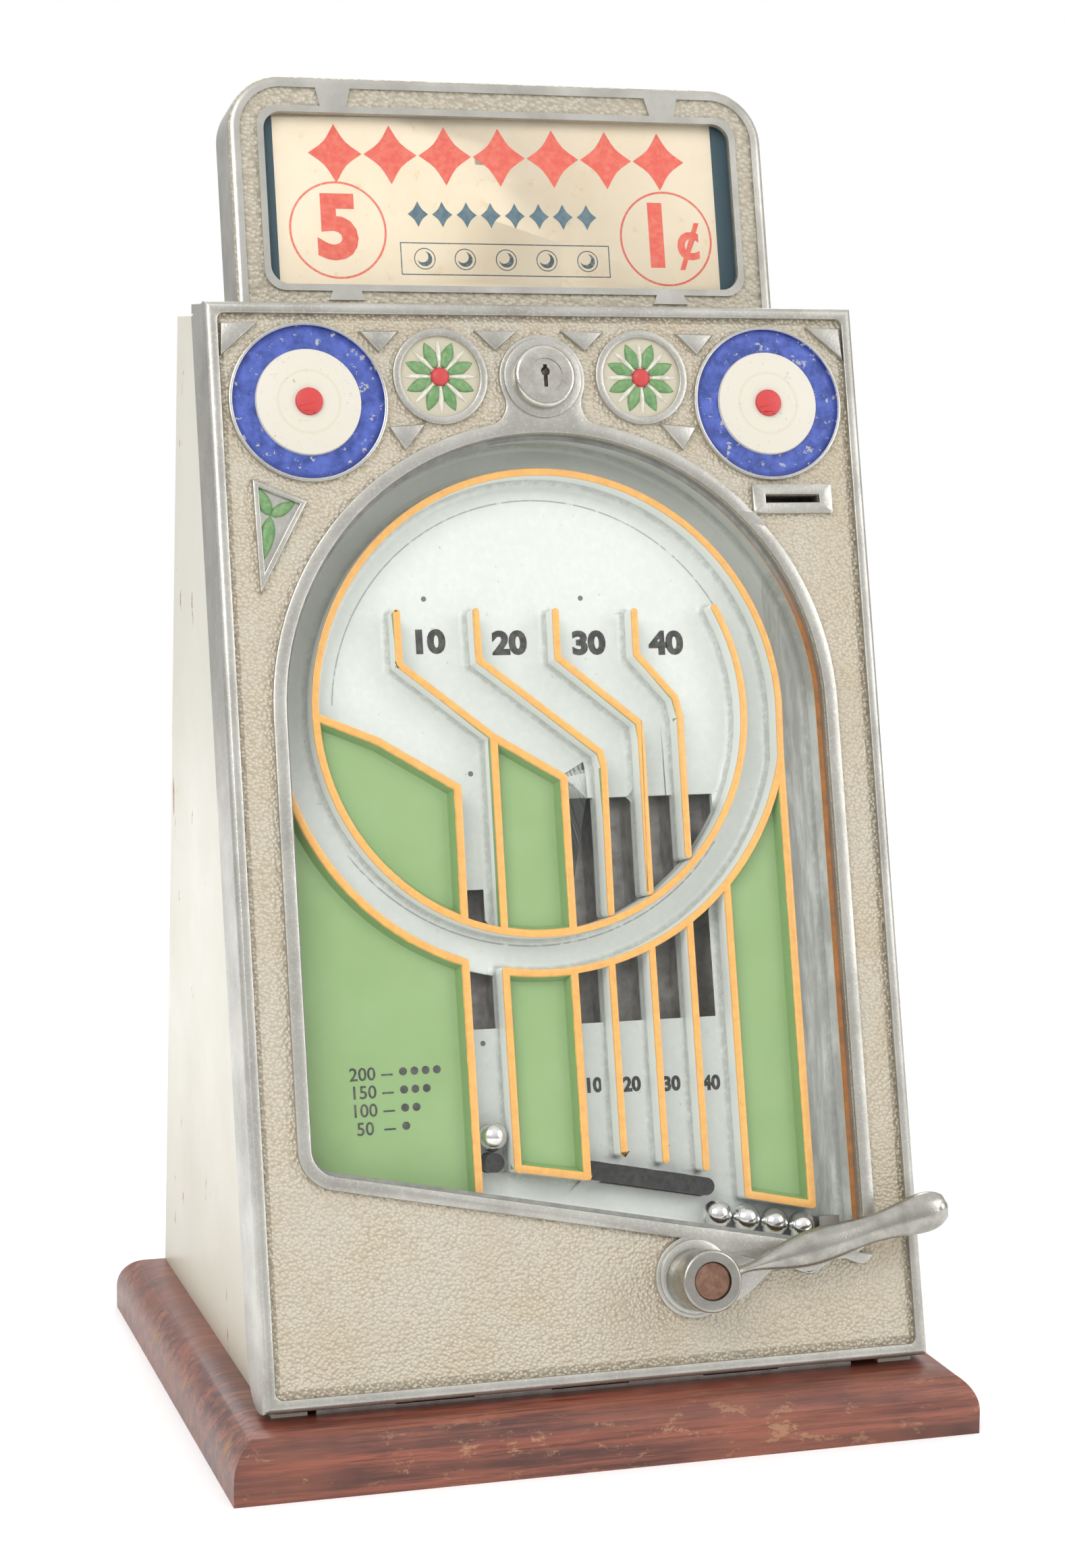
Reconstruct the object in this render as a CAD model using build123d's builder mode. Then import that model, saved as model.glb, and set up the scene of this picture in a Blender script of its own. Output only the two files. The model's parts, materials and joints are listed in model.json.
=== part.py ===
from build123d import *
import os
from math import asin, cos, degrees, radians, sin, sqrt, tan

os.makedirs("parts", exist_ok=True)

# Counter-top flip-ball game: a wedge-shaped steel case on a wood base, a cast front that leans
# back and tilts forward on a bottom hinge, a cast playfield behind glass, and a sign on top.
# Millimetres, +Z up, the player at -Y. Origin: middle of the base's underside.
# The face has its own directions: x across, v up the lean, n out of it towards the player.

# ---------------------------------------------------------------- driving dimensions
base_width = 278.0
base_depth = 239.0
base_thickness = 22.5
base_round = 14.0

face_width = 250.0
face_length = 395.0
face_lean = 14.0             # degrees back from upright
face_front_margin = 17.5     # base edge to the foot of the face
face_gap = 3.3               # under the casting, where the hinge lies
rim_height = 2.0             # raised rims above the recessed panel
rim_width = 4.5
rim_round = 2.6
plate = 4.0                  # casting thickness under the panel
skirt = 3.5                  # thickness of the casting's side walls
skirt_depth = 23.0           # how far the side walls reach back
skirt_heel = 18.0            # radius of the side wall's lower back corner

case_half = 121.0            # outside of the steel sides
case_sheet = 1.2
case_set_back = 6.0          # front edge of the steel behind the face
case_back_margin = 12.5      # base's back edge to the case's back
case_back_lean = 6.4         # degrees, the back leans forward
case_flange = 13.0
case_clear = 0.5             # between the case and the door
back_sheet = 1.5

window_half = 103.0
window_crown = 243.6         # height of the arch's centre up the face
window_sill_left = 82.0      # sill height at the left side
sill_slope = 11.5            # degrees down to the right
window_corner = 10.0
window_rim = 5.0
gasket = 0.8
gasket_show = 1.5            # how far the gasket shows inside the window
glass_thickness = 3.0
glass_play = 0.4
border = 3.5                 # how far glass and playfield reach past the window

ball_diameter = 11.1
channel_depth = 11.6
land = 2.7                   # width of the playfield's ridges
floor_thickness = 2.5
pocket_depth = 5.0
pocket_taper = 20.0          # degrees, the pockets' sloping walls
ear_x = 113.5                # playfield ears and the casting's posts
ear_radius = 5.0
ear_heights = (120.0, 235.0)

tunnel_depth = 15.0
tunnel_wall = 1.5

lever_x = 36.0
lever_v = 34.4
lever_shaft_r = 7.0
lever_hub_r = 11.2
lever_hub_back = 3.3
lever_hub_front = 21.0
lever_rest = 12.0            # degrees, the handle slopes up to its tip
lever_reach = 91.0           # shaft to the middle of the handle's tip
bushing_r = 9.0
running = 0.05               # radial clearance of every running fit

gate_travel = 8.0
gate_thickness = 6.6
trip_arm = 18.0
trip_v = 100.0
trip_n = -44.0

coin_diameter = 19.05
coin_play = 2.3
slot_x = 95.7
slot_v = 321.4
slot_height = 2.8
chute_wall = 1.2
chute_depth = 4.0
chute_foot = 62.0

lock_v = 367.0
lock_boss_r = 16.5
lock_body_r = 9.0
lock_plug_r = 6.4

sign_half = 106.0
sign_set_back = 30.0
sign_top = 490.0
sign_depth = 23.0
sign_corner = 21.0
sign_wall = 2.5
sign_opening_half = 92.5
sign_opening_low = 410.0
sign_opening_high = 476.0

# ---------------------------------------------------------------- derived places
lean = radians(face_lean)
face_y = -base_depth / 2 + face_front_margin
face_z = base_thickness + face_gap
face = Plane(origin=(0, face_y, face_z), x_dir=(1, 0, 0), z_dir=(0, -cos(lean), sin(lean)))
cheek = Plane(origin=(0, face_y, face_z), x_dir=(0, sin(lean), cos(lean)), z_dir=(1, 0, 0))

glass_front = -plate - gasket
glass_back = glass_front - glass_thickness
land_top = glass_back - glass_play
channel_floor = land_top - channel_depth
playfield_back = channel_floor - floor_thickness
slope = tan(radians(sill_slope))
slope_cos = cos(radians(sill_slope))


def spot(x, v, n):
    """World place of a point x across, v up the face and n proud of it."""
    return Vector(x, face_y + v * sin(lean) - n * cos(lean), face_z + v * cos(lean) + n * sin(lean))


def face_line_y(z, n):
    """Y, at height z, of the plane lying n proud of the face."""
    v = (z - face_z - n * sin(lean)) / cos(lean)
    return face_y + v * sin(lean) - n * cos(lean)


def window_sill(x):
    """Height of the window's lower edge up the face."""
    return window_sill_left - slope * (x + window_half)


flange_top = spot(0, face_length, -plate).Z
flange_low = flange_top - skirt
case_top = flange_low - case_clear
back_lean = radians(case_back_lean)
back_y = base_depth / 2 - case_back_margin
back_length = (case_top - base_thickness) / cos(back_lean)
back = Plane(
    origin=(0, back_y, base_thickness), x_dir=(-1, 0, 0), z_dir=(0, cos(back_lean), sin(back_lean))
)


def back_line_y(z, inset=0.0):
    """Y, at height z, of the case's back plane or of one inset in front of it."""
    return back_y - (z - base_thickness) * tan(back_lean) - inset / cos(back_lean)


def save(piece, name):
    """Labels a finished piece and writes its file."""
    piece.label = name
    export_step(piece, f"parts/{name}.step")


def window_outline(grow, mode=Mode.ADD):
    """Window outline grown outwards, drawn in the sketch that calls this."""
    half = window_half + grow
    drop = grow / slope_cos
    with BuildSketch(mode=Mode.PRIVATE) as outline:
        with BuildLine():
            Line((-half, window_crown), (-half, window_sill(-half) - drop))
            Line((-half, window_sill(-half) - drop), (half, window_sill(half) - drop))
            Line((half, window_sill(half) - drop), (half, window_crown))
            ThreePointArc((half, window_crown), (0, window_crown + half), (-half, window_crown))
        make_face()
        fillet(outline.vertices().sort_by(Axis.Y)[0:2], window_corner + grow)
    add(outline.sketch, mode=mode)


def screw(plane, radius, head_radius, length, head, name, places):
    """Slotted round-head screws of one kind, heads up on the plane at each place, as one node."""
    with BuildPart(plane) as screws:
        with BuildSketch(plane):
            with Locations(*places):
                Circle(head_radius)
        extrude(amount=head)
        fillet(screws.faces().group_by(Axis(plane.origin, plane.z_dir))[-1].edges(), head * 0.6)
        with BuildSketch(plane):
            with Locations(*places):
                Circle(radius)
        extrude(amount=-length)
        with BuildSketch(plane.offset(head * 0.45)):
            with Locations(*places):
                Rectangle(2 * head_radius, head_radius * 0.28)
        extrude(amount=head, mode=Mode.SUBTRACT)
    save(screws.part, name)


# ================================================================ cabinet
with BuildPart() as wood_base:
    with BuildSketch():
        Rectangle(base_width, base_depth)
    extrude(amount=base_thickness)
    fillet(wood_base.faces().sort_by(Axis.Z)[-1].edges(), base_round)
save(wood_base.part, "wood_base")

# Case shell: two wedge sides, a top, and turned-in flanges at the foot and the back.
with BuildPart() as case_shell:
    with BuildSketch(Plane.YZ.offset(-case_half)):
        with BuildLine():
            Polyline(
                (face_line_y(base_thickness, -case_set_back), base_thickness),
                (back_line_y(base_thickness), base_thickness),
                (back_line_y(case_top), case_top),
                (face_line_y(case_top, -case_set_back), case_top),
                close=True,
            )
        make_face()
    extrude(amount=2 * case_half)
    # everything inside the sheet goes, front and back left open
    with BuildSketch(Plane.YZ.offset(-case_half + case_sheet)):
        with BuildLine():
            Polyline(
                (face_line_y(base_thickness, 0), base_thickness + case_sheet),
                (back_line_y(base_thickness, case_sheet), base_thickness + case_sheet),
                (back_line_y(case_top, case_sheet), case_top - case_sheet),
                (face_line_y(case_top, 0), case_top - case_sheet),
                close=True,
            )
        make_face()
    extrude(amount=2 * (case_half - case_sheet), mode=Mode.SUBTRACT)
    # foot opening between the flanges
    with BuildSketch(Plane.XY.offset(base_thickness)):
        Rectangle(2 * (case_half - case_flange), 2 * base_depth)
    extrude(amount=case_sheet, mode=Mode.SUBTRACT)
    # back opening between the flanges
    with BuildSketch(back.offset(1)):
        with Locations((0, (back_length - case_flange) / 2)):
            Rectangle(2 * (case_half - case_flange), back_length - case_flange)
    extrude(amount=-2 - case_sheet, mode=Mode.SUBTRACT)
save(case_shell.part, "case_shell")

back_screw_x = case_half - case_flange / 2
back_screw_v = (40.0, back_length / 2, back_length - 40.0)
with BuildPart() as back_panel:
    with BuildSketch(back):
        with Locations((0, back_length / 2)):
            Rectangle(2 * case_half - 2, back_length - 2)
        # vent slots high on the panel
        with Locations((0, back_length - 60)):
            with GridLocations(0, 9, 1, 5):
                SlotOverall(70, 3, mode=Mode.SUBTRACT)
    extrude(amount=back_sheet)
save(back_panel.part, "back_panel")
screw(
    back.offset(back_sheet), 1.6, 3.6, 6.0, 2.0, "back_panel_screws",
    [(side * back_screw_x, height) for side in (-1, 1) for height in back_screw_v],
)
case_screw_x = case_half - case_flange / 2
screw(
    Plane.XY.offset(base_thickness + case_sheet), 1.8, 3.8, 14.0, 2.2, "case_foot_screws",
    [(side * case_screw_x, y) for side in (-1, 1) for y in (-65.0, 75.0)],
)

# Cash tray on the base, under the coin chute.
tray_front = face_line_y(base_thickness, 0) + 33.0
tray_length = 115.0
tray_height = 11.0
tray_half = case_half - case_flange - 2
with BuildPart() as cash_tray:
    with BuildSketch(Plane.XY.offset(base_thickness)):
        with Locations((0, tray_front + tray_length / 2)):
            RectangleRounded(2 * tray_half, tray_length, 4)
    extrude(amount=tray_height)
    offset(amount=-1.2, openings=cash_tray.faces().sort_by(Axis.Z)[-1])
save(cash_tray.part, "cash_tray")

# ================================================================ hinge
hinge_v = 3.0
hinge_n = -4.2
hinge_pin_r = 1.1
knuckle_r = 2.4
hinge_left = -105.0
hinge_right = 97.0
knuckles = 7
knuckle_gap = 0.3
leaf = 1.2
hinge_at = spot(0, hinge_v, hinge_n)
knuckle_pitch = (hinge_right - hinge_left) / knuckles
base_knuckles = [hinge_left + knuckle_pitch * (i + 0.5) for i in range(0, knuckles, 2)]
door_knuckles = [hinge_left + knuckle_pitch * (i + 0.5) for i in range(1, knuckles, 2)]
knuckle_width = knuckle_pitch - knuckle_gap
hinge_side = Plane(origin=hinge_at, x_dir=(0, 1, 0), z_dir=(1, 0, 0))
hinge_screw_x = (-78.0, -4.0, 70.0)

with BuildPart() as hinge_base_leaf:
    rise = hinge_at.Z - base_thickness
    with BuildSketch(Plane.XY.offset(base_thickness)):
        with Locations(((hinge_left + hinge_right) / 2, hinge_at.Y + 0.2 + 9)):
            Rectangle(hinge_right - hinge_left, 18)
    extrude(amount=leaf)
    for x in base_knuckles:
        with BuildSketch(hinge_side.offset(x - knuckle_width / 2)):
            Circle(knuckle_r)
            with BuildLine():
                Polyline(
                    (0.2, 0), (knuckle_r, 0), (knuckle_r, -rise), (0.2, -rise), close=True
                )
            make_face()
            Circle(hinge_pin_r, mode=Mode.SUBTRACT)
        extrude(amount=knuckle_width)
save(hinge_base_leaf.part, "hinge_base_leaf")

with BuildPart() as hinge_pin:
    with BuildSketch(hinge_side.offset(hinge_left)):
        Circle(hinge_pin_r)
    extrude(amount=hinge_right - hinge_left)
save(hinge_pin.part, "hinge_pin")
screw(
    Plane.XY.offset(base_thickness + leaf), 1.5, 3.2, 10.0, 1.4, "hinge_base_screws",
    [(x, hinge_at.Y + 12) for x in hinge_screw_x],
)

# Door leaf: flat on the casting's back, its knuckles between the base leaf's.
door_leaf_low = hinge_v + knuckle_r + 0.7
door_leaf_height = 14.0
with BuildPart() as hinge_door_leaf:
    with BuildSketch(face.offset(-plate)):
        with Locations(((hinge_left + hinge_right) / 2, door_leaf_low + door_leaf_height / 2)):
            Rectangle(hinge_right - hinge_left, door_leaf_height)
    extrude(amount=-leaf)
    for x in door_knuckles:
        with BuildSketch(cheek.offset(x - knuckle_width / 2)):
            with Locations((hinge_v, hinge_n)):
                Circle(knuckle_r)
            with BuildLine():
                Polyline(
                    (hinge_v, -plate - leaf), (door_leaf_low, -plate - leaf),
                    (door_leaf_low, -plate), (hinge_v, -plate), close=True,
                )
            make_face()
            with Locations((hinge_v, hinge_n)):
                Circle(hinge_pin_r + running, mode=Mode.SUBTRACT)
        extrude(amount=knuckle_width)
save(hinge_door_leaf.part, "hinge_door_leaf")
screw(
    Plane(face.offset(-plate - leaf).origin, x_dir=(1, 0, 0), z_dir=(0, cos(lean), -sin(lean))),
    1.4, 3.0, 2.9, 1.4, "hinge_door_screws",
    [(x + 14, -door_leaf_low - 11) for x in hinge_screw_x],
)

# ================================================================ front casting
target_x = 88.5
target_v = 358.0
rosette_x = 38.8
rosette_v = 367.6
pad_height = 3.0             # lever pad and lock boss stand a little prouder than the rims
flare_r = 8.0                # between the lock boss and the window's rim
flare_to_crown = window_half + window_rim + flare_r
flare_rise = (
    flare_to_crown ** 2 - (lock_boss_r + flare_r) ** 2 + (lock_v - window_crown) ** 2
) / (2 * (lock_v - window_crown))
flare = (sqrt(flare_to_crown ** 2 - flare_rise ** 2), window_crown + flare_rise)
triangles = (
    ((-68.5, 384.2), (-53.3, 384.4), (-61.4, 376.3)),
    ((-25.1, 384.7), (-8.3, 384.8), (-17.3, 377.4)),
    ((-119.4, 386.9), (-105.8, 387.1), (-120.1, 374.6)),
    ((-59.3, 348.8), (-45.2, 350.0), (-53.5, 340.0)),
)
leaf_triangle = ((-111.0, 329.8), (-91.0, 321.6), (-110.1, 288.2))
stop_r = 2.0
stop_places = ((16.0, 28.9), (17.5, 48.7))
spring_post_at = (20.0, 23.0)
post_radius = 4.5
ear_places = [(side * ear_x, v) for side in (-1, 1) for v in ear_heights]

with BuildPart() as front_frame:
    with BuildSketch(face.offset(-plate)):
        with Locations((0, face_length / 2)):
            Rectangle(face_width, face_length)
    extrude(amount=plate + rim_height)
    fillet(front_frame.faces().sort_by(Axis(face.origin, face.z_dir))[-1].edges(), rim_round)
    # recessed panel, leaving the border, the window rim and the raised ornaments
    with BuildSketch(face):
        with Locations((0, face_length / 2)):
            RectangleRounded(face_width - 2 * rim_width, face_length - 2 * rim_width, 3)
        window_outline(window_rim, mode=Mode.SUBTRACT)
        with Locations((0, lock_v)):
            Circle(lock_boss_r, mode=Mode.SUBTRACT)
        with Locations((-target_x, target_v), (target_x, target_v)):
            Circle(29.5, mode=Mode.SUBTRACT)
        with Locations((-rosette_x, rosette_v), (rosette_x, rosette_v)):
            Circle(18, mode=Mode.SUBTRACT)
        with Locations((lever_x, lever_v + 1)):
            Circle(15, mode=Mode.SUBTRACT)
        with BuildLine():
            Line((lever_x, lever_v + 16), (lever_x + 70, window_sill(lever_x + 70) - 1))
            Spline(
                (lever_x + 70, window_sill(lever_x + 70) - 1), (lever_x + 66, 35), (lever_x + 56, 38),
                (lever_x + 46, 33), (lever_x + 34, 36.5), (lever_x + 24, 30.5), (lever_x, 31),
            )
            Line((lever_x, 31), (lever_x, lever_v + 16))
        make_face(mode=Mode.SUBTRACT)
        with Locations((slot_x, slot_v)):
            RectangleRounded(32, 11.4, 1, mode=Mode.SUBTRACT)
        # the lock boss runs into the window's rim with rounded flares
        with BuildSketch(mode=Mode.PRIVATE) as neck:
            Polygon((-flare[0], flare[1]), (0, lock_v), flare, (0, window_crown), align=None)
            with Locations((-flare[0], flare[1]), flare):
                Circle(flare_r, mode=Mode.SUBTRACT)
        add(neck.sketch, mode=Mode.SUBTRACT)
        for corners in triangles:
            Polygon(*corners, align=None, mode=Mode.SUBTRACT)
            Polygon(*[(-x, v) for x, v in corners], align=None, mode=Mode.SUBTRACT)
        with BuildLine():
            Polyline(*leaf_triangle, close=True)
        leaf_face = make_face(mode=Mode.PRIVATE)
        add(leaf_face, mode=Mode.SUBTRACT)
    extrude(amount=rim_height + 1, mode=Mode.SUBTRACT)
    # hollows inside the raised rings
    with BuildSketch(face.offset(0.6)):
        with Locations((-target_x, target_v), (target_x, target_v)):
            Circle(28)
        with Locations((-rosette_x, rosette_v), (rosette_x, rosette_v)):
            Circle(15)
        offset(leaf_face, amount=-2.2, kind=Kind.INTERSECTION, mode=Mode.ADD)
    extrude(amount=rim_height, mode=Mode.SUBTRACT)
    with BuildSketch(face.offset(0.5)):
        with Locations((-target_x, target_v), (target_x, target_v)):
            Circle(19.5)
    extrude(amount=1.3)
    with BuildSketch(face.offset(1)):
        with Locations((-target_x, target_v), (target_x, target_v)):
            Circle(5)
    extrude(amount=2.2)
    # lock boss and lever pad
    with BuildSketch(face.offset(1)):
        with Locations((0, lock_v)):
            Circle(lock_boss_r - 1.5)
        with Locations((lever_x, lever_v + 1)):
            Circle(13.5)
    extrude(amount=pad_height - 1)
    # posts that the playfield's ears are screwed to
    with BuildSketch(face.offset(-plate)):
        with Locations(*ear_places):
            Circle(post_radius)
    extrude(amount=playfield_back + floor_thickness + plate)
    # side walls with a rounded heel, and the top flange
    for wall in (-face_width / 2, face_width / 2 - skirt):
        with BuildSketch(cheek.offset(wall)):
            with BuildLine():
                heel = skirt_heel * (1 - sqrt(0.5))
                Polyline(
                    (0, skirt_heel - skirt_depth), (0, -plate + 1), (face_length, -plate + 1),
                    (face_length, -skirt_depth), (skirt_heel, -skirt_depth),
                )
                ThreePointArc(
                    (skirt_heel, -skirt_depth), (heel, heel - skirt_depth), (0, skirt_heel - skirt_depth)
                )
            make_face()
        extrude(amount=skirt)
    with BuildSketch(Plane.YZ.offset(-face_width / 2)):
        front_low = face_line_y(flange_low, -plate + 1)
        front_high = face_line_y(flange_top, -plate + 1)
        with BuildLine():
            Polyline(
                (front_low, flange_low), (front_high, flange_top),
                (front_high + skirt_depth - plate, flange_top),
                (front_high + skirt_depth - plate, flange_low), close=True,
            )
        make_face()
    extrude(amount=face_width)
    # window, lock hole, bushing hole, coin slot
    with BuildSketch(face.offset(-plate)):
        window_outline(0)
        with Locations((0, lock_v)):
            Circle(lock_body_r)
        with Locations((lever_x, lever_v)):
            Circle(bushing_r)
        with Locations((slot_x, slot_v)):
            Rectangle(coin_diameter + coin_play, slot_height)
    extrude(amount=plate + 5, mode=Mode.SUBTRACT)
    # relief at the foot for the hinge knuckles
    with BuildSketch(cheek.offset(hinge_left - 0.6)):
        with Locations((hinge_v, -plate - 1)):
            Rectangle(2 * (knuckle_r + 1.1), 2 * (1 + 2.5 + 0.2))
    extrude(amount=hinge_right - hinge_left + 1.2, mode=Mode.SUBTRACT)
    # screw holes in the posts
    with BuildSketch(face.offset(playfield_back)):
        with Locations(*ear_places):
            Circle(1.6)
    extrude(amount=14, mode=Mode.SUBTRACT)
save(front_frame.part, "front_frame")

with BuildPart() as glass_gasket:
    with BuildSketch(face.offset(glass_front)):
        window_outline(border)
        window_outline(-gasket_show, mode=Mode.SUBTRACT)
    extrude(amount=gasket)
save(glass_gasket.part, "glass_gasket")

with BuildPart() as window_glass:
    with BuildSketch(face.offset(glass_back)):
        window_outline(border)
    extrude(amount=glass_thickness)
save(window_glass.part, "window_glass")

# ================================================================ playfield
ridge_centre = (-1.0, 244.8)     # outer ridge, over the top
ridge_r = 89.3
spiral_r = 82.2                  # its lower half turns inwards and ends at the upper right
spiral_centre = (ridge_centre[0] - ridge_r + spiral_r, ridge_centre[1])
spiral_end = 27.0                # degrees above the horizontal
ring_centre = (-7.9, 246.4)      # wall outside the ring channel
ring_r = 98.0
lane_wall = 87.6
out_left = -39.9
out_right = -25.1
low_pocket_right = 1.15
half_land = land / 2
upper_dividers = (
    ((-58.0, 282.0), (-58.0, 263.0), (-22.6, 234.3), (1.9, 219.7), (1.8, 166.4)),
    ((-28.0, 282.0), (-27.8, 264.0), (16.5, 228.6), (17.5, 223.0), (16.6, 169.4)),
    ((2.6, 281.5), (2.4, 264.3), (32.3, 239.3), (32.8, 231.8), (32.3, 176.5)),
    ((33.3, 281.0), (33.1, 265.0), (47.2, 248.3), (48.6, 240.7), (48.2, 189.5)),
)
lower_dividers = ((15.6, 80.2), (31.5, 76.4), (46.9, 72.6))
gate_low = window_sill(0) + (ball_diameter + 0.9) / slope_cos
gate_left = low_pocket_right + half_land + 0.5
gate_right = 47.0
gate_pin_r = 3.6
gate_pin_at = ((out_left + out_right) / 2, 81.0)


def circle_v(centre, radius, x, side):
    """Height at which a circle on the face passes x, below (-1) or above (1) its centre."""
    return centre[1] + side * sqrt(max(0.0, radius * radius - (x - centre[0]) ** 2))


def bottom_arc(centre, radius, x_from, x_to):
    """Lower arc of a circle on the face between two places across."""
    middle = (x_from + x_to) / 2
    return ThreePointArc(
        (x_from, circle_v(centre, radius, x_from, -1)),
        (middle, circle_v(centre, radius, middle, -1)),
        (x_to, circle_v(centre, radius, x_to, -1)),
    )


def ridge(points):
    """Straight ridges with round ends along a list of places, in the sketch that calls this."""
    for start, end in zip(points, points[1:]):
        centre = ((start[0] + end[0]) / 2, (start[1] + end[1]) / 2)
        with Locations(centre):
            SlotCenterPoint((0, 0), (end[0] - centre[0], end[1] - centre[1]), land)


def round_ridge(centre, radius, start, size):
    """Curved ridge about a centre, from an angle through another."""
    SlotArc(CenterArc(centre, radius, start, size, mode=Mode.PRIVATE), land)


def pocket_faces():
    """Outlines of the five walled pockets along the middle of their ridges."""
    outlines = []
    left = spiral_centre[0] - spiral_r
    with BuildSketch(mode=Mode.PRIVATE) as left_pocket:
        with BuildLine():
            Polyline(
                (left, spiral_centre[1]), (-67.6, 235.2), (-38.8, 217.4),
                (-39.2, circle_v(spiral_centre, spiral_r, -39.2, -1)),
            )
            bottom_arc(spiral_centre, spiral_r, left, -39.2)
        make_face()
    outlines.append(left_pocket.sketch)
    with BuildSketch(mode=Mode.PRIVATE) as middle_pocket:
        with BuildLine():
            Polyline(
                (-24.6, circle_v(spiral_centre, spiral_r, -24.6, -1)), (-24.2, 235.6), (1.9, 219.7),
                (1.8, circle_v(spiral_centre, spiral_r, 1.8, -1)),
            )
            bottom_arc(spiral_centre, spiral_r, -24.6, 1.8)
        make_face()
    outlines.append(middle_pocket.sketch)
    left = -window_half - half_land
    with BuildSketch(mode=Mode.PRIVATE) as corner_pocket:
        with BuildLine():
            Polyline(
                (left, circle_v(ring_centre, ring_r, left, -1)), (left, window_sill(left) - half_land),
                (out_left, window_sill(out_left) - half_land),
                (out_left, circle_v(ring_centre, ring_r, out_left, -1)),
            )
            bottom_arc(ring_centre, ring_r, left, out_left)
        make_face()
    outlines.append(corner_pocket.sketch)
    with BuildSketch(mode=Mode.PRIVATE) as low_pocket:
        with BuildLine():
            Polyline(
                (out_right, circle_v(ring_centre, ring_r, out_right, -1)), (out_right, 78.3),
                (low_pocket_right, 73.6),
                (low_pocket_right, circle_v(ring_centre, ring_r, low_pocket_right, -1)),
            )
            bottom_arc(ring_centre, ring_r, out_right, low_pocket_right)
        make_face()
    outlines.append(low_pocket.sketch)
    with BuildSketch(mode=Mode.PRIVATE) as tall_pocket:
        with BuildLine():
            Polyline(
                (62.5, circle_v(ring_centre, ring_r, 62.5, -1)), (62.5, 62.9), (lane_wall, 57.4),
                (lane_wall, circle_v(ring_centre, ring_r, lane_wall, -1)),
            )
            bottom_arc(ring_centre, ring_r, 62.5, lane_wall)
        make_face()
    outlines.append(tall_pocket.sketch)
    return outlines


def gate_bar_outline(grow):
    """Outline of the sloping gate bar, round at its right end, in the sketch that calls this."""
    left_low = gate_low - slope * gate_left
    length = (gate_right - gate_left) / slope_cos
    with Locations(Location((gate_left, left_low), -sill_slope)):
        with Locations((length / 2, gate_thickness / 2)):
            Rectangle(length + 2 * grow, gate_thickness + 2 * grow)
        with Locations((length, gate_thickness / 2)):
            Circle(gate_thickness / 2 + grow)


pockets = pocket_faces()
head_left = 90.5             # kicker head
head_width = 8.0
head_low = 31.0
head_top = 52.9
head_near = -10.5
head_far = -18.5

# openings in the floor: left, right, low and high edge
scoring_opening = (3.3, 63.0, 150.0, 213.0)
out_opening = (-37.8, -26.0, 150.0, 180.6)
# the lower openings' edges, where the balls come back out
return_low = 129.5
return_left_high = 151.0
return_right = 61.1
return_right_high = 200.0
kicker_slot_right = 102.4
kicker_slot_low = 30.0
kicker_slot_high = 46.0


def upright_block(left, right, low, high):
    """Rectangle between four edges, drawn in the sketch that calls this."""
    Polygon((left, low), (left, high), (right, high), (right, low), align=None)


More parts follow.
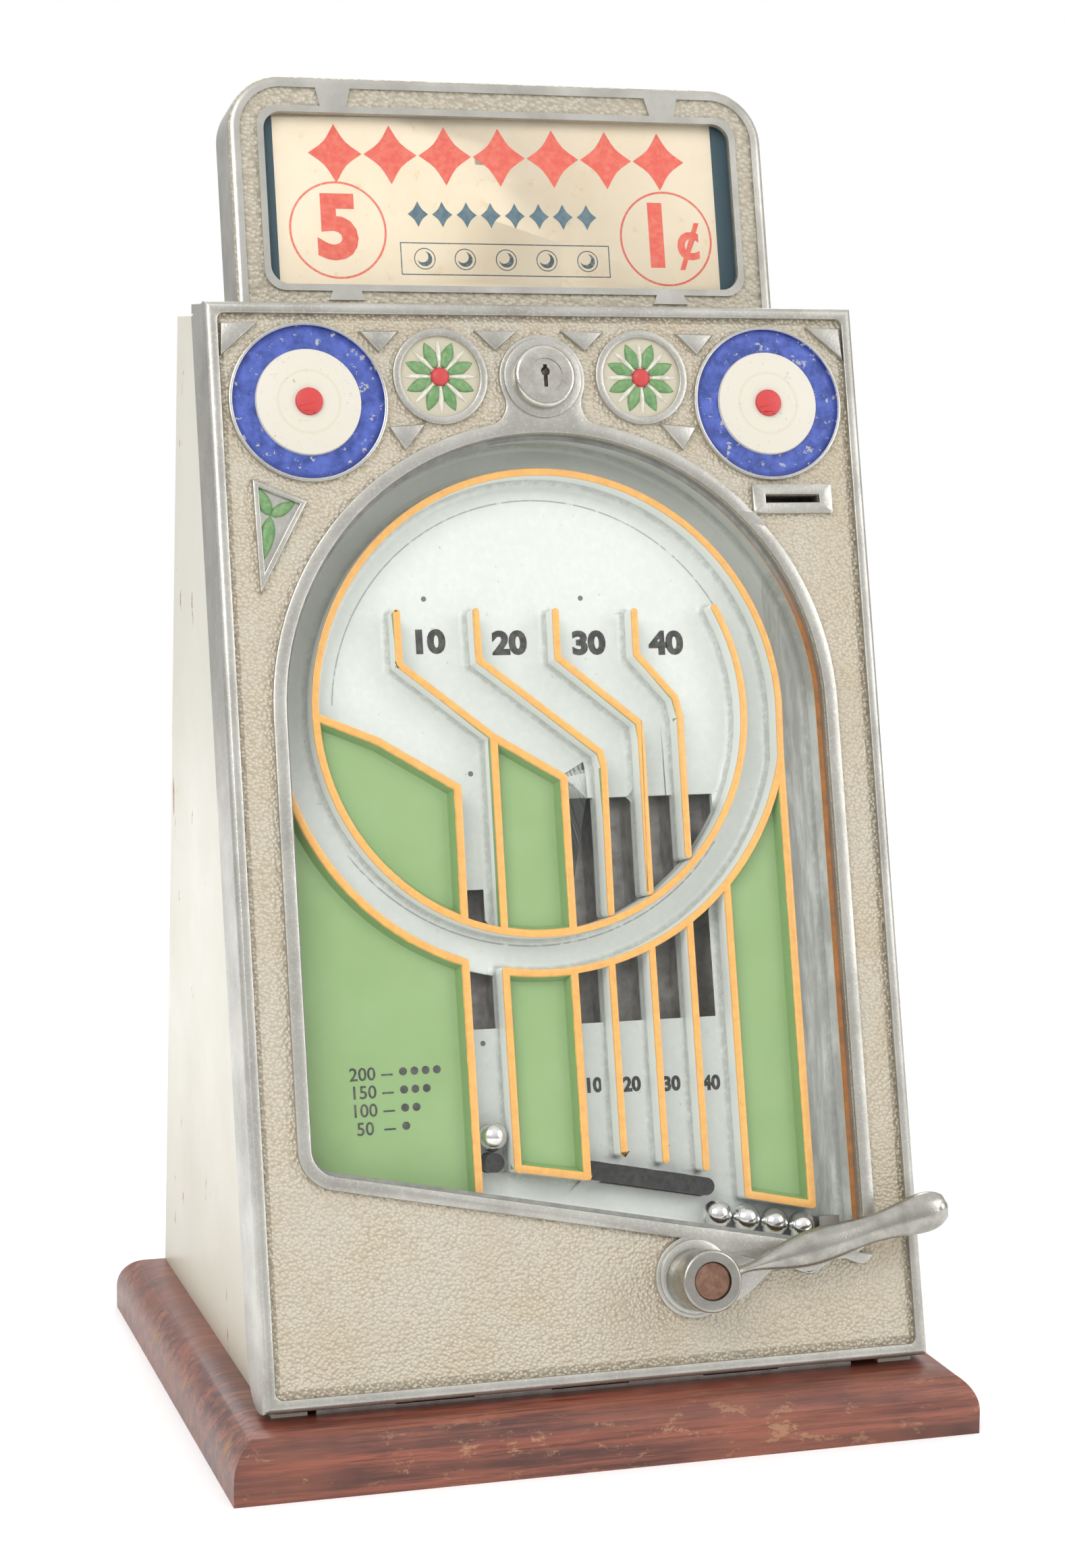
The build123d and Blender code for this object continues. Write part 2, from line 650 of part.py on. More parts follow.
with BuildPart() as playfield:
    with BuildSketch(face.offset(playfield_back)):
        window_outline(border)
    extrude(amount=land_top - playfield_back)
    # channels: everything inside the window but the ridges and pocket blocks
    with BuildSketch(face.offset(land_top)) as channels:
        window_outline(0)
        with BuildSketch(mode=Mode.PRIVATE) as standing:
            for outline in pockets:
                offset(outline, amount=half_land, kind=Kind.ARC, mode=Mode.ADD)
            for points in upper_dividers:
                ridge(points)
            for x, low in lower_dividers:
                ridge([(x, low + half_land), (x, circle_v(ring_centre, ring_r, x, -1))])
            round_ridge(ridge_centre, ridge_r, 0, 180)
            round_ridge(spiral_centre, spiral_r, 180, 180 + spiral_end)
            ridge([(ridge_centre[0] + ridge_r, ridge_centre[1]), (lane_wall, 224.0)])
            ring_start = degrees(asin((out_right - ring_centre[0]) / ring_r)) - 90
            ring_stop = degrees(asin((lane_wall - ring_centre[0]) / ring_r)) - 90
            round_ridge(ring_centre, ring_r, ring_start, ring_stop - ring_start)
        add(standing.sketch, mode=Mode.SUBTRACT)
    extrude(amount=-channel_depth, mode=Mode.SUBTRACT)
    # tapered pockets, hollow behind
    for outline in pockets:
        with BuildSketch(face.offset(land_top)):
            offset(outline, amount=-half_land, kind=Kind.INTERSECTION)
        extrude(amount=-pocket_depth, taper=pocket_taper, mode=Mode.SUBTRACT)
        with BuildSketch(face.offset(playfield_back)):
            offset(outline, amount=-half_land - 3, kind=Kind.INTERSECTION)
        extrude(amount=channel_depth - pocket_depth, mode=Mode.SUBTRACT)
    # openings through the floor at the feet of the upper columns
    with BuildSketch(face.offset(playfield_back)):
        upright_block(*scoring_opening)
        upright_block(*out_opening)
        with Locations(spiral_centre):
            Circle(spiral_r - half_land, mode=Mode.INTERSECT)
        with BuildSketch(mode=Mode.PRIVATE) as kept:
            for points in upper_dividers:
                ridge(points)
        add(kept.sketch, mode=Mode.SUBTRACT)
    extrude(amount=floor_thickness, mode=Mode.SUBTRACT)
    # and at the heads of the lower ones, where the balls come out again
    with BuildSketch(face.offset(playfield_back)):
        Polygon(
            (out_left + half_land, return_low), (out_left + half_land, return_left_high),
            (return_right, return_right_high), (return_right, return_low), align=None,
        )
        with BuildSketch(mode=Mode.PRIVATE) as kept:
            with Locations(ring_centre):
                Circle(ring_r + half_land)
            offset(pockets[3], amount=half_land, kind=Kind.ARC, mode=Mode.ADD)
            for x, low in lower_dividers:
                ridge([(x, low), (x, 160.0)])
        add(kept.sketch, mode=Mode.SUBTRACT)
    extrude(amount=floor_thickness, mode=Mode.SUBTRACT)
    # slots that the gate bar, the gate pin and the kicker head work in
    with BuildSketch(face.offset(playfield_back)):
        gate_bar_outline(0.4)
        with Locations(gate_pin_at):
            Circle(gate_pin_r + 0.4)
    extrude(amount=floor_thickness, mode=Mode.SUBTRACT)
    with BuildSketch(face.offset(channel_floor)):
        upright_block(head_left - 0.4, kicker_slot_right, kicker_slot_low, kicker_slot_high)
    extrude(amount=channel_depth + 1, mode=Mode.SUBTRACT)
    # ears on the casting's posts
    with BuildSketch(face.offset(playfield_back)):
        with Locations(*ear_places):
            Circle(ear_radius)
        for side in (-1, 1):
            for v in ear_heights:
                with Locations((side * (ear_x + window_half) / 2, v)):
                    Rectangle(ear_x - window_half, 2 * ear_radius)
    extrude(amount=floor_thickness)
    with BuildSketch(face.offset(playfield_back)):
        with Locations(*ear_places):
            Circle(2.0)
    extrude(amount=floor_thickness, mode=Mode.SUBTRACT)
save(playfield.part, "playfield")

away = Plane(origin=face.origin, x_dir=(-1, 0, 0), z_dir=(0, cos(lean), -sin(lean)))
screw(
    away.offset(-playfield_back), 1.6, 3.4, 11.0, 2.0, "playfield_screws",
    [(-x, v) for x, v in ear_places],
)

# Tunnel box: carries each ball behind the ring channel from its upper column to its lower one.
tunnel_left = -43.0
tunnel_right = 66.0
tunnel_low = 124.0
tunnel_high = 222.0
with BuildPart() as tunnel_box:
    with BuildSketch(face.offset(playfield_back)):
        Polygon((tunnel_left, tunnel_low), (tunnel_right, tunnel_low), (tunnel_right, tunnel_high),
                (tunnel_left, tunnel_high), align=None)
    extrude(amount=-tunnel_depth)
    offset(
        amount=-tunnel_wall,
        openings=tunnel_box.faces().sort_by(Axis(face.origin, face.z_dir))[-1],
    )
    with BuildSketch(face.offset(playfield_back)):
        for x in (-24.5, 1.8, 16.4, 32.0, 47.6):
            with Locations((x, (tunnel_low + tunnel_high) / 2)):
                Rectangle(tunnel_wall, tunnel_high - tunnel_low - tunnel_wall)
    extrude(amount=-tunnel_depth + tunnel_wall / 2)
    # lugs for its screws
    with BuildSketch(face.offset(playfield_back)):
        with Locations((tunnel_left - 4, 210), (tunnel_left - 4, 136), (tunnel_right + 4, 215),
                       (tunnel_right + 4, 136)):
            Rectangle(10, 9)
    extrude(amount=-tunnel_wall)
save(tunnel_box.part, "tunnel_box")
screw(
    away.offset(-playfield_back + tunnel_wall), 1.3, 2.7, 3.6, 1.6, "tunnel_screws",
    [(-x, v) for x, v in (
        (tunnel_left - 5, 210), (tunnel_left - 5, 136), (tunnel_right + 5, 215), (tunnel_right + 5, 136)
    )],
)

# Coin chute: a hood behind the slot and a flat drop behind the playfield.
chute_left = slot_x - (coin_diameter + coin_play) / 2 - chute_wall
chute_right = slot_x + (coin_diameter + coin_play) / 2 + chute_wall
chute_front = playfield_back
chute_back = playfield_back - chute_depth - 2 * chute_wall
hood_low = slot_v - 4.5
hood_high = slot_v + 6.0
trip_slot_half = 3.0


def chute_block(left, right, low, high, near, far, mode=Mode.ADD):
    """Upright block on the face's directions, added to or cut from the part that calls this."""
    with BuildSketch(face.offset(far), mode=Mode.PRIVATE) as block:
        Polygon((left, low), (right, low), (right, high), (left, high), align=None)
    extrude(block.sketch, amount=near - far, mode=mode)


with BuildPart() as coin_chute:
    chute_block(chute_left, chute_right, chute_foot, hood_high, chute_front, chute_back)
    chute_block(chute_left, chute_right, hood_low, hood_high, -plate, chute_back)
    chute_block(
        chute_left + chute_wall, chute_right - chute_wall, chute_foot - 1, hood_high - chute_wall,
        chute_front - chute_wall, chute_back + chute_wall, Mode.SUBTRACT,
    )
    chute_block(
        chute_left + chute_wall, chute_right - chute_wall, hood_low + chute_wall,
        hood_high - chute_wall, 0, chute_front - chute_wall - 1, Mode.SUBTRACT,
    )
    chute_block(
        slot_x - trip_slot_half, slot_x + trip_slot_half, trip_v - 14, trip_v + 5,
        chute_back + chute_wall + 1, chute_back - 1, Mode.SUBTRACT,
    )
    # side lugs on the playfield's back
    for v in (150.0, 255.0):
        chute_block(chute_left - 8, chute_left + 0.5, v - 4, v + 4, chute_front, chute_front - 1.5)
save(coin_chute.part, "coin_chute")
screw(
    away.offset(-chute_front + 1.5), 1.3, 2.7, 3.6, 1.6, "chute_screws",
    [(-chute_left + 4.2, v) for v in (150.0, 255.0)],
)

# ================================================================ lock
lock_nut_thickness = 5.0
cam_thickness = 2.0
cam_reach = 23.5
cam_near = -15.0
with BuildPart() as lock_body:
    with BuildSketch(face.offset(cam_near + 0.3)):
        with Locations((0, lock_v)):
            Circle(lock_body_r)
    extrude(amount=pad_height - cam_near - 0.3)
    with BuildSketch(face.offset(pad_height)):
        with Locations((0, lock_v)):
            Circle(11.7)
    extrude(amount=3.6)
    fillet(lock_body.faces().sort_by(Axis(face.origin, face.z_dir))[-1].edges(), 1.6)
    with BuildSketch(face.offset(cam_near)):
        with Locations((0, lock_v)):
            Circle(lock_plug_r + running)
    extrude(amount=pad_height - cam_near + 5, mode=Mode.SUBTRACT)
save(lock_body.part, "lock_body")

with BuildPart() as lock_nut:
    with BuildSketch(face.offset(-plate)):
        with Locations((0, lock_v)):
            RegularPolygon(13, 6)
            Circle(lock_body_r, mode=Mode.SUBTRACT)
    extrude(amount=-lock_nut_thickness)
save(lock_nut.part, "lock_nut")

with BuildPart() as lock_plug:
    with BuildSketch(face.offset(cam_near)):
        with Locations((0, lock_v)):
            Circle(lock_plug_r)
    extrude(amount=pad_height + 3.2 - cam_near)
    with BuildSketch(face.offset(pad_height + 3.2)):
        with Locations((0, lock_v)):
            Rectangle(1.5, 8.4)
            with Locations((0, 1.6)):
                Circle(1.7)
    extrude(amount=-10, mode=Mode.SUBTRACT)
save(lock_plug.part, "lock_plug")

with BuildPart() as lock_cam:
    with BuildSketch(face.offset(cam_near)):
        with Locations((cam_reach / 2 - 3, lock_v)):
            SlotOverall(cam_reach + 6, 11)
        with Locations((0, lock_v)):
            Circle(lock_body_r - 1)
    extrude(amount=-cam_thickness)
save(lock_cam.part, "lock_cam")
screw(away.offset(-cam_near + cam_thickness), 2.0, 4.2, 7.0, 2.2, "lock_cam_screw", [(0, lock_v)])

# Keeper hanging from the case top, in front of the cam once it is turned up.
keeper_near = cam_near + 0.4 + 1.6
keeper_low = lock_v + 15
keeper_half = 13.0
keeper_y = face_line_y(case_top - case_sheet, keeper_near)
with BuildPart() as lock_keeper:
    with BuildSketch(face.offset(keeper_near - 1.6)):
        Polygon((-keeper_half, keeper_low), (keeper_half, keeper_low), (keeper_half, face_length + 9),
                (-keeper_half, face_length + 9), align=None)
    extrude(amount=1.6)
    split(bisect_by=Plane.XY.offset(case_top - case_sheet), keep=Keep.BOTTOM)
    with BuildSketch(Plane.XY.offset(case_top - case_sheet)):
        with Locations((0, keeper_y + 8.5)):
            Rectangle(2 * keeper_half, 17)
    extrude(amount=-1.6)
save(lock_keeper.part, "lock_keeper")
screw(
    Plane(origin=(0, 0, case_top - case_sheet - 1.6), x_dir=(1, 0, 0), z_dir=(0, 0, -1)),
    1.3, 2.7, 2.6, 1.5, "keeper_screws", [(side * 8, -keeper_y - 12) for side in (-1, 1)],
)

# ================================================================ lever
arm_near = -13.5
arm_far = -17.5
hub_near = -12.3
hub_far = -19.0
spring_coil_r = 10.2
spring_wire_r = 0.6
collar_near = -28.0
collar_far = -31.5
shaft_end = -33.0
lever_side = Plane(origin=spot(lever_x, lever_v, 0), x_dir=(1, 0, 0), z_dir=(0, -cos(lean), sin(lean)))

with BuildPart() as lever_bushing:
    with BuildSketch(lever_side.offset(hub_near + 0.3)):
        Circle(bushing_r)
        Circle(lever_shaft_r + running, mode=Mode.SUBTRACT)
    extrude(amount=pad_height - hub_near - 0.3)
save(lever_bushing.part, "lever_bushing")

with BuildPart() as bushing_nut:
    with BuildSketch(lever_side.offset(-plate)):
        RegularPolygon(13, 6)
        Circle(bushing_r, mode=Mode.SUBTRACT)
    extrude(amount=-4.5)
save(bushing_nut.part, "bushing_nut")

with BuildPart() as lever_shaft:
    with BuildSketch(lever_side.offset(shaft_end)):
        Circle(lever_shaft_r)
    extrude(amount=lever_hub_front - 0.8 - shaft_end)
    chamfer(lever_shaft.faces().sort_by(Axis(face.origin, face.z_dir))[-1].edges(), 0.6)
save(lever_shaft.part, "lever_shaft")

# Handle: a round hub and a tapering arm that swells into a thumb end.
tip = Vector(lever_reach * cos(radians(lever_rest)), lever_reach * sin(radians(lever_rest)))
with BuildPart() as lever_handle:
    with BuildSketch(lever_side.offset(lever_hub_back)):
        Circle(lever_hub_r)
    extrude(amount=lever_hub_front - lever_hub_back)
    fillet(lever_handle.faces().sort_by(Axis(face.origin, face.z_dir))[-1].edges(), 1.2)
    arm_axis = Plane(
        origin=lever_side.from_local_coords((0, 0, 14.5)),
        x_dir=lever_side.z_dir,
        z_dir=lever_side.from_local_coords((tip.X, tip.Y, 0)) - lever_side.origin,
    )
    with BuildSketch(arm_axis.offset(7)):
        Ellipse(5.6, 5.2)
    with BuildSketch(arm_axis.offset(30)):
        Ellipse(3.9, 4.6)
    with BuildSketch(arm_axis.offset(62)):
        Ellipse(3.7, 5.3)
    with BuildSketch(arm_axis.offset(lever_reach - 8)):
        Ellipse(4.6, 7.0)
    with BuildSketch(arm_axis.offset(lever_reach)):
        Ellipse(4.6, 7.0)
    with BuildSketch(arm_axis.offset(lever_reach + 5)):
        Ellipse(3.2, 4.6)
    loft()
    with Locations(arm_axis.from_local_coords((0, 0, lever_reach + 2))):
        Sphere(4.4)
    with BuildSketch(lever_side.offset(lever_hub_back)):
        Circle(lever_shaft_r)
    extrude(amount=lever_hub_front, mode=Mode.SUBTRACT)
save(lever_handle.part, "lever_handle")

# Kicker: hub, flat arm, the head that throws the ball, and a tail between the stops.
tail_reach = 23.0
arm_half = 3.0
with BuildPart() as kicker_arm:
    with BuildSketch(lever_side.offset(hub_far)):
        Circle(11)
        Circle(lever_shaft_r, mode=Mode.SUBTRACT)
    extrude(amount=hub_near - hub_far)
    with BuildSketch(lever_side.offset(arm_far)):
        with BuildLine():
            Polyline(
                (9, arm_half), (head_left - lever_x, arm_half - 1.5),
                (head_left - lever_x, -arm_half - 0.5), (9, -arm_half), close=True,
            )
        make_face()
        with Locations((-(9 + tail_reach) / 2, 0)):
            Rectangle(tail_reach - 9, 2 * arm_half)
    extrude(amount=arm_near - arm_far)
    chute_block(head_left, head_left + head_width, head_low, head_top, head_near, head_far)
save(kicker_arm.part, "kicker_arm")

with BuildPart() as lever_stops:
    with BuildSketch(face.offset(arm_far - 1.5)):
        with Locations(*stop_places):
            Circle(stop_r)
    extrude(amount=-plate - arm_far + 1.5)
save(lever_stops.part, "lever_stops")

with BuildPart() as spring_post:
    with BuildSketch(face.offset(hub_far - 6.5)):
        with Locations(spring_post_at):
            Circle(1.8)
    extrude(amount=-plate - hub_far + 6.5)
save(spring_post.part, "spring_post")

with BuildPart() as shaft_collar:
    with BuildSketch(lever_side.offset(collar_far)):
        Circle(11)
        Circle(lever_shaft_r, mode=Mode.SUBTRACT)
    extrude(amount=collar_near - collar_far)
save(shaft_collar.part, "shaft_collar")

# Return spring: a coil round the shaft, one leg hooked on the post and one on the arm.
coil_turns = 3.5
coil_pitch = 1.7
coil_start = hub_far - 1.2
with BuildPart() as return_spring:
    with BuildLine():
        coil = Helix(
            pitch=coil_pitch, height=coil_pitch * coil_turns, radius=spring_coil_r,
            center=spot(lever_x, lever_v, coil_start - coil_pitch * coil_turns),
            direction=face.z_dir,
        )
    with BuildSketch(Plane(origin=coil @ 0, z_dir=coil % 0)):
        Circle(spring_wire_r)
    sweep()
save(return_spring.part, "return_spring")

# ================================================================ ball gate
plate_near = playfield_back - 2.7
plate_far = plate_near - 2.0
gate_front = land_top - 4.3
guide_places = ((-6.0, 67.5), (56.5, 58.5))
guide_r = 2.0
guide_end = -43.0
ear_left = 60.0
ear_right = 62.0
trip_pin_n = trip_n + gate_travel / 2
trip_pin_v = trip_v - sqrt(trip_arm ** 2 - (gate_travel / 2) ** 2)

with BuildPart() as gate_bar:
    with BuildSketch(face.offset(plate_near)):
        gate_bar_outline(0)
    extrude(amount=gate_front - plate_near)
save(gate_bar.part, "gate_bar")

with BuildPart() as gate_pin:
    with BuildSketch(face.offset(plate_near)):
        with Locations(gate_pin_at):
            Circle(gate_pin_r)
    extrude(amount=gate_front - plate_near)
save(gate_pin.part, "gate_pin")

with BuildPart() as gate_plate:
    with BuildSketch(face.offset(plate_far)):
        Polygon((-39, 88), (-39, 72), (-8, 60), (50, 52), (ear_right, 52), (ear_right, 86), (50, 86),
                align=None)
        with Locations(*guide_places):
            Circle(guide_r + running, mode=Mode.SUBTRACT)
    extrude(amount=plate_near - plate_far)
    chute_block(ear_left, ear_right, trip_pin_v - 5, trip_pin_v + 4, plate_near, trip_pin_n - 3)
    with BuildSketch(cheek.offset(ear_left - 4)):
        with Locations((trip_pin_v, trip_pin_n)):
            Circle(1.5)
    extrude(amount=5)
save(gate_plate.part, "gate_plate")

with BuildPart() as gate_guides:
    with BuildSketch(face.offset(playfield_back)):
        with Locations(*guide_places):
            Circle(4)
    extrude(amount=-1)
    with BuildSketch(face.offset(playfield_back)):
        with Locations(*guide_places):
            Circle(guide_r)
    extrude(amount=guide_end - playfield_back)
save(gate_guides.part, "gate_guides")

with BuildPart() as guide_clips:
    with BuildSketch(face.offset(guide_end + 0.6)):
        with Locations(*guide_places):
            Circle(4.6)
            Circle(guide_r, mode=Mode.SUBTRACT)
    extrude(amount=1)
save(guide_clips.part, "guide_clips")

gate_coil_r = 3.3
gate_coil_wire = 0.4
gate_coil_low = guide_end + 1.6 + gate_coil_wire + 0.1
gate_coil_height = plate_far - gate_coil_wire - 0.1 - gate_coil_low
with BuildPart() as gate_springs:
    for x, v in guide_places:
        with BuildLine() as one_coil:
            gate_coil = Helix(
                pitch=gate_coil_height / 6, height=gate_coil_height, radius=gate_coil_r,
                center=spot(x, v, gate_coil_low), direction=face.z_dir,
            )
        with BuildSketch(Plane(origin=gate_coil @ 0, z_dir=gate_coil % 0)):
            Circle(gate_coil_wire)
        sweep(path=one_coil.line)
save(gate_springs.part, "gate_springs")

# ================================================================ coin trip
trip_hub_r = 3.4
trip_pin_r = 1.6
trip_left = 57.0
trip_right = chute_right - 2.2
fork_half = 3.0
bracket_wall = 1.5
fork_tilt = degrees(asin(gate_travel / 2 / trip_arm))
with BuildPart() as trip_lever:
    with BuildSketch(cheek.offset(trip_left)):
        with Locations((trip_v, trip_n)):
            Circle(trip_hub_r)
            Circle(trip_pin_r + running, mode=Mode.SUBTRACT)
    extrude(amount=trip_right - trip_left)
    # fork on the gate's cross pin
    with BuildSketch(cheek.offset(trip_left)):
        with Locations(Location((trip_v, trip_n), 0)):
            with Locations(Rot(0, 0, -fork_tilt) * Pos(-trip_arm / 2 - 2.5, 0)):
                Rectangle(trip_arm - 1, 2 * fork_half + 2)
            with Locations(Rot(0, 0, -fork_tilt) * Pos(-trip_arm - 2, 0)):
                SlotOverall(10, 3.7, mode=Mode.SUBTRACT)
            Circle(trip_pin_r + running, mode=Mode.SUBTRACT)
    extrude(amount=2)
    # paddle that the coin pushes down
    with BuildSketch(cheek.offset(slot_x - 1.5)):
        with Locations((trip_v, trip_n)):
            Rectangle(3.2, 3.2, align=(Align.CENTER, Align.CENTER))
            with Locations((0, 1.2)):
                Rectangle(2.4, chute_front - chute_wall - 0.6 - trip_n - 1.2, align=(Align.CENTER, Align.MIN))
            Circle(trip_pin_r + running, mode=Mode.SUBTRACT)
    extrude(amount=3)
save(trip_lever.part, "trip_lever")

with BuildPart() as trip_pin:
    with BuildSketch(cheek.offset(trip_left - 2)):
        with Locations((trip_v, trip_n)):
            Circle(trip_pin_r)
    extrude(amount=chute_right - trip_left + 2)
save(trip_pin.part, "trip_pin")

with BuildPart() as trip_bracket:
    for left in (chute_left - 4, chute_right - bracket_wall):
        with BuildSketch(cheek.offset(left)):
            with BuildLine():
                Polyline(
                    (trip_v + 8, chute_back), (trip_v + 8, chute_back - 1), (trip_v + 4, trip_n - 4),
                    (trip_v - 4, trip_n - 4), (trip_v - 4, chute_back - 4), (trip_v + 4, chute_back),
                    close=True,
                )
            make_face()
            with Locations((trip_v, trip_n)):
                hole = trip_pin_r if left > slot_x else trip_hub_r + 0.3
                Circle(hole, mode=Mode.SUBTRACT)
        extrude(amount=bracket_wall)
    chute_block(chute_left - 4, chute_right, trip_v + 6, trip_v + 14, chute_back, chute_back - bracket_wall)
save(trip_bracket.part, "trip_bracket")

# ================================================================ balls
ball_pitch = ball_diameter + 0.05
ball_r = ball_diameter / 2
ball_n = channel_floor + ball_r + 0.1
last_ball_x = head_left - 0.4 - ball_r
with BuildPart() as trough_balls:
    for i in range(4):
        x = last_ball_x - i * ball_pitch * slope_cos
        with Locations(spot(x, window_sill(x) + (ball_r + 0.15) / slope_cos, ball_n)):
            Sphere(ball_r)
save(trough_balls.part, "trough_balls")

with BuildPart() as out_ball:
    with Locations(spot(gate_pin_at[0], gate_pin_at[1] + gate_pin_r + ball_r + 0.3, ball_n)):
        Sphere(ball_r)
save(out_ball.part, "out_ball")

# ================================================================ sign
sign_front = -sign_set_back
sign_back_n = sign_front - sign_depth
sign_plate = 3.0


def sign_outline(inset, low):
    """Sign outline inset from its outside, drawn in the sketch that calls this."""
    with BuildSketch(mode=Mode.PRIVATE) as outline:
        Polygon(
            (-sign_half + inset, low), (sign_half - inset, low), (sign_half - inset, sign_top - inset),
            (-sign_half + inset, sign_top - inset), align=None,
        )
        fillet(outline.vertices().sort_by(Axis.Y)[2:4], sign_corner - inset)
    add(outline.sketch)


with BuildPart() as sign_frame:
    with BuildSketch(face.offset(sign_back_n)):
        sign_outline(0, 385)
    extrude(amount=sign_depth)
    fillet(sign_frame.faces().sort_by(Axis(face.origin, face.z_dir))[-1].edges(), 2.6)
    # bordered front with a recessed band between the outer rim and the opening's rim
    with BuildSketch(face.offset(sign_front - 1)):
        sign_outline(4.5, 402)
        with Locations((0, (sign_opening_low + sign_opening_high) / 2)):
            RectangleRounded(
                2 * sign_opening_half + 5, sign_opening_high - sign_opening_low + 5, 8,
                mode=Mode.SUBTRACT,
            )
        for side in (-1, 1):
            Polygon((side * 73, 491), (side * 70, 476), (side * 61, 476), (side * 57, 491),
                    align=None, mode=Mode.SUBTRACT)
            Polygon((side * 71, 404), (side * 68, 411), (side * 60, 411), (side * 57, 404),
                    align=None, mode=Mode.SUBTRACT)
    extrude(amount=2, mode=Mode.SUBTRACT)
    # box behind the front plate, open at the back
    with BuildSketch(face.offset(sign_back_n)):
        sign_outline(sign_wall, 385)
    extrude(amount=sign_depth - sign_plate, mode=Mode.SUBTRACT)
    with BuildSketch(face.offset(sign_back_n)):
        with Locations((0, (sign_opening_low + sign_opening_high) / 2)):
            RectangleRounded(2 * sign_opening_half, sign_opening_high - sign_opening_low, 7)
    extrude(amount=sign_depth + 1, mode=Mode.SUBTRACT)
    split(bisect_by=Plane.XY.offset(case_top), keep=Keep.TOP)
    # foot that stands on the case
    foot_y = face_line_y(case_top, sign_front - 1)
    with BuildSketch(Plane.XY.offset(case_top)):
        with Locations((0, foot_y + sign_depth / 2)):
            Rectangle(2 * sign_half - 2, sign_depth - 2)
    extrude(amount=sign_wall)
save(sign_frame.part, "sign_frame")

inner_half = sign_half - sign_wall - 0.3
inner_low = sign_opening_low - 3.5
inner_high = sign_top - sign_wall - 4.5
pane_thickness = 2.0
card_thickness = 0.8
board_thickness = 3.0
pane_front = sign_front - sign_plate
card_front = pane_front - pane_thickness
board_front = card_front - card_thickness
for name, front, thickness in (
    ("sign_glass", pane_front, pane_thickness),
    ("sign_card", card_front, card_thickness),
    ("sign_backing", board_front, board_thickness),
):
    with BuildPart() as layer:
        with BuildSketch(face.offset(front)):
            with Locations((0, (inner_low + inner_high) / 2)):
                RectangleRounded(2 * inner_half, inner_high - inner_low, 18)
        extrude(amount=-thickness)
    save(layer.part, name)

with BuildPart() as sign_clips:
    for side in (-1, 1):
        for v in (425.0, 462.0):
            left = side * inner_half - (0 if side < 0 else 9)
            chute_block(left - 0.3, left + 9.3, v - 5, v + 5, board_front - board_thickness,
                        board_front - board_thickness - 1.5)
save(sign_clips.part, "sign_clips")

with BuildPart() as sign_back:
    with BuildSketch(face.offset(sign_back_n)):
        sign_outline(sign_wall + 0.3, 385)
    extrude(amount=1.5)
    split(bisect_by=Plane.XY.offset(case_top + sign_wall + 0.2), keep=Keep.TOP)
save(sign_back.part, "sign_back")
screw(
    Plane.XY.offset(case_top + sign_wall), 2.2, 4.4, 7.0, 2.6, "sign_bolts",
    [(side * 70, foot_y + sign_depth / 2 - 2) for side in (-1, 1)],
)
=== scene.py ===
import json
from math import atan2, cos, pi, radians, sin

import bmesh
import bpy
from mathutils import Matrix, Vector


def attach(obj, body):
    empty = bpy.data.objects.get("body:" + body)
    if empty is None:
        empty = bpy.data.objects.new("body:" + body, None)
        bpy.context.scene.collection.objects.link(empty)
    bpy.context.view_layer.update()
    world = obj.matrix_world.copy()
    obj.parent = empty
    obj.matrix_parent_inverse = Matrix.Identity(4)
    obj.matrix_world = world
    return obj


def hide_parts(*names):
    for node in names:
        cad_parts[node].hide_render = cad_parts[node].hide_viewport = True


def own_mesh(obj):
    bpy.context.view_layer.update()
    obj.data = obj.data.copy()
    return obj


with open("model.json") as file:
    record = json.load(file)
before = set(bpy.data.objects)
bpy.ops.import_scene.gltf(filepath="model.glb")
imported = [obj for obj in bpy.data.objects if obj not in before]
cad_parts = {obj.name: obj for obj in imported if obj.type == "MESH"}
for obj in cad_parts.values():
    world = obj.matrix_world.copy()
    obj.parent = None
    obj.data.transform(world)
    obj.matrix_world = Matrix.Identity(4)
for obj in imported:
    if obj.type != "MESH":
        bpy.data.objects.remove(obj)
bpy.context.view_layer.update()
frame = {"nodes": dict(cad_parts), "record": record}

MM = 0.001
nodes = frame["nodes"]
body_of = {
    node: body
    for body, members in frame["record"]["behaviour"]["bodies"].items()
    for node in members
}

# ---------------------------------------------------------------- the leaning face
# x across, v up the lean, n out of the face, all in millimetres; found from the front casting.
LEAN = radians(14.0)
FACE_Y = -102.0
UP_FACE = Vector((0, sin(LEAN), cos(LEAN)))
OUT_OF_FACE = Vector((0, -cos(LEAN), sin(LEAN)))
FACE_Z = 25.8
FACE = Matrix((
    (MM, 0, 0, 0),
    (0, UP_FACE.y * MM, OUT_OF_FACE.y * MM, FACE_Y * MM),
    (0, UP_FACE.z * MM, OUT_OF_FACE.z * MM, FACE_Z * MM),
    (0, 0, 0, 1),
))
OFF_FACE = FACE.inverted()

LAND_TOP = -8.2
CHANNEL_FLOOR = -19.8
POCKET_FLOOR = LAND_TOP - 5.0
TARGETS = ((-88.5, 358.0), (88.5, 358.0))
RIM_MEETS_PLATE = (80.0, 314.7)     # too tight a corner to round
ROSETTES = ((-38.8, 367.6), (38.8, 367.6))
CARD_RINGS = ((-64.9, 432.2), (65.6, 431.2))
CARD_BALLS = (-31.8, -15.9, 0.4, 16.6, 33.0)
SCRIBED_CENTRE = (-1.0, 244.8)      # of the thin line round the top of the playfield
TRACK_CENTRE = (-7.9, 246.4)        # of the track's worn line
PIN_MARKS = ((-30.6, 223.4), (-32.2, 124.3), (16.2, 288.2), (-44.5, 288.8))


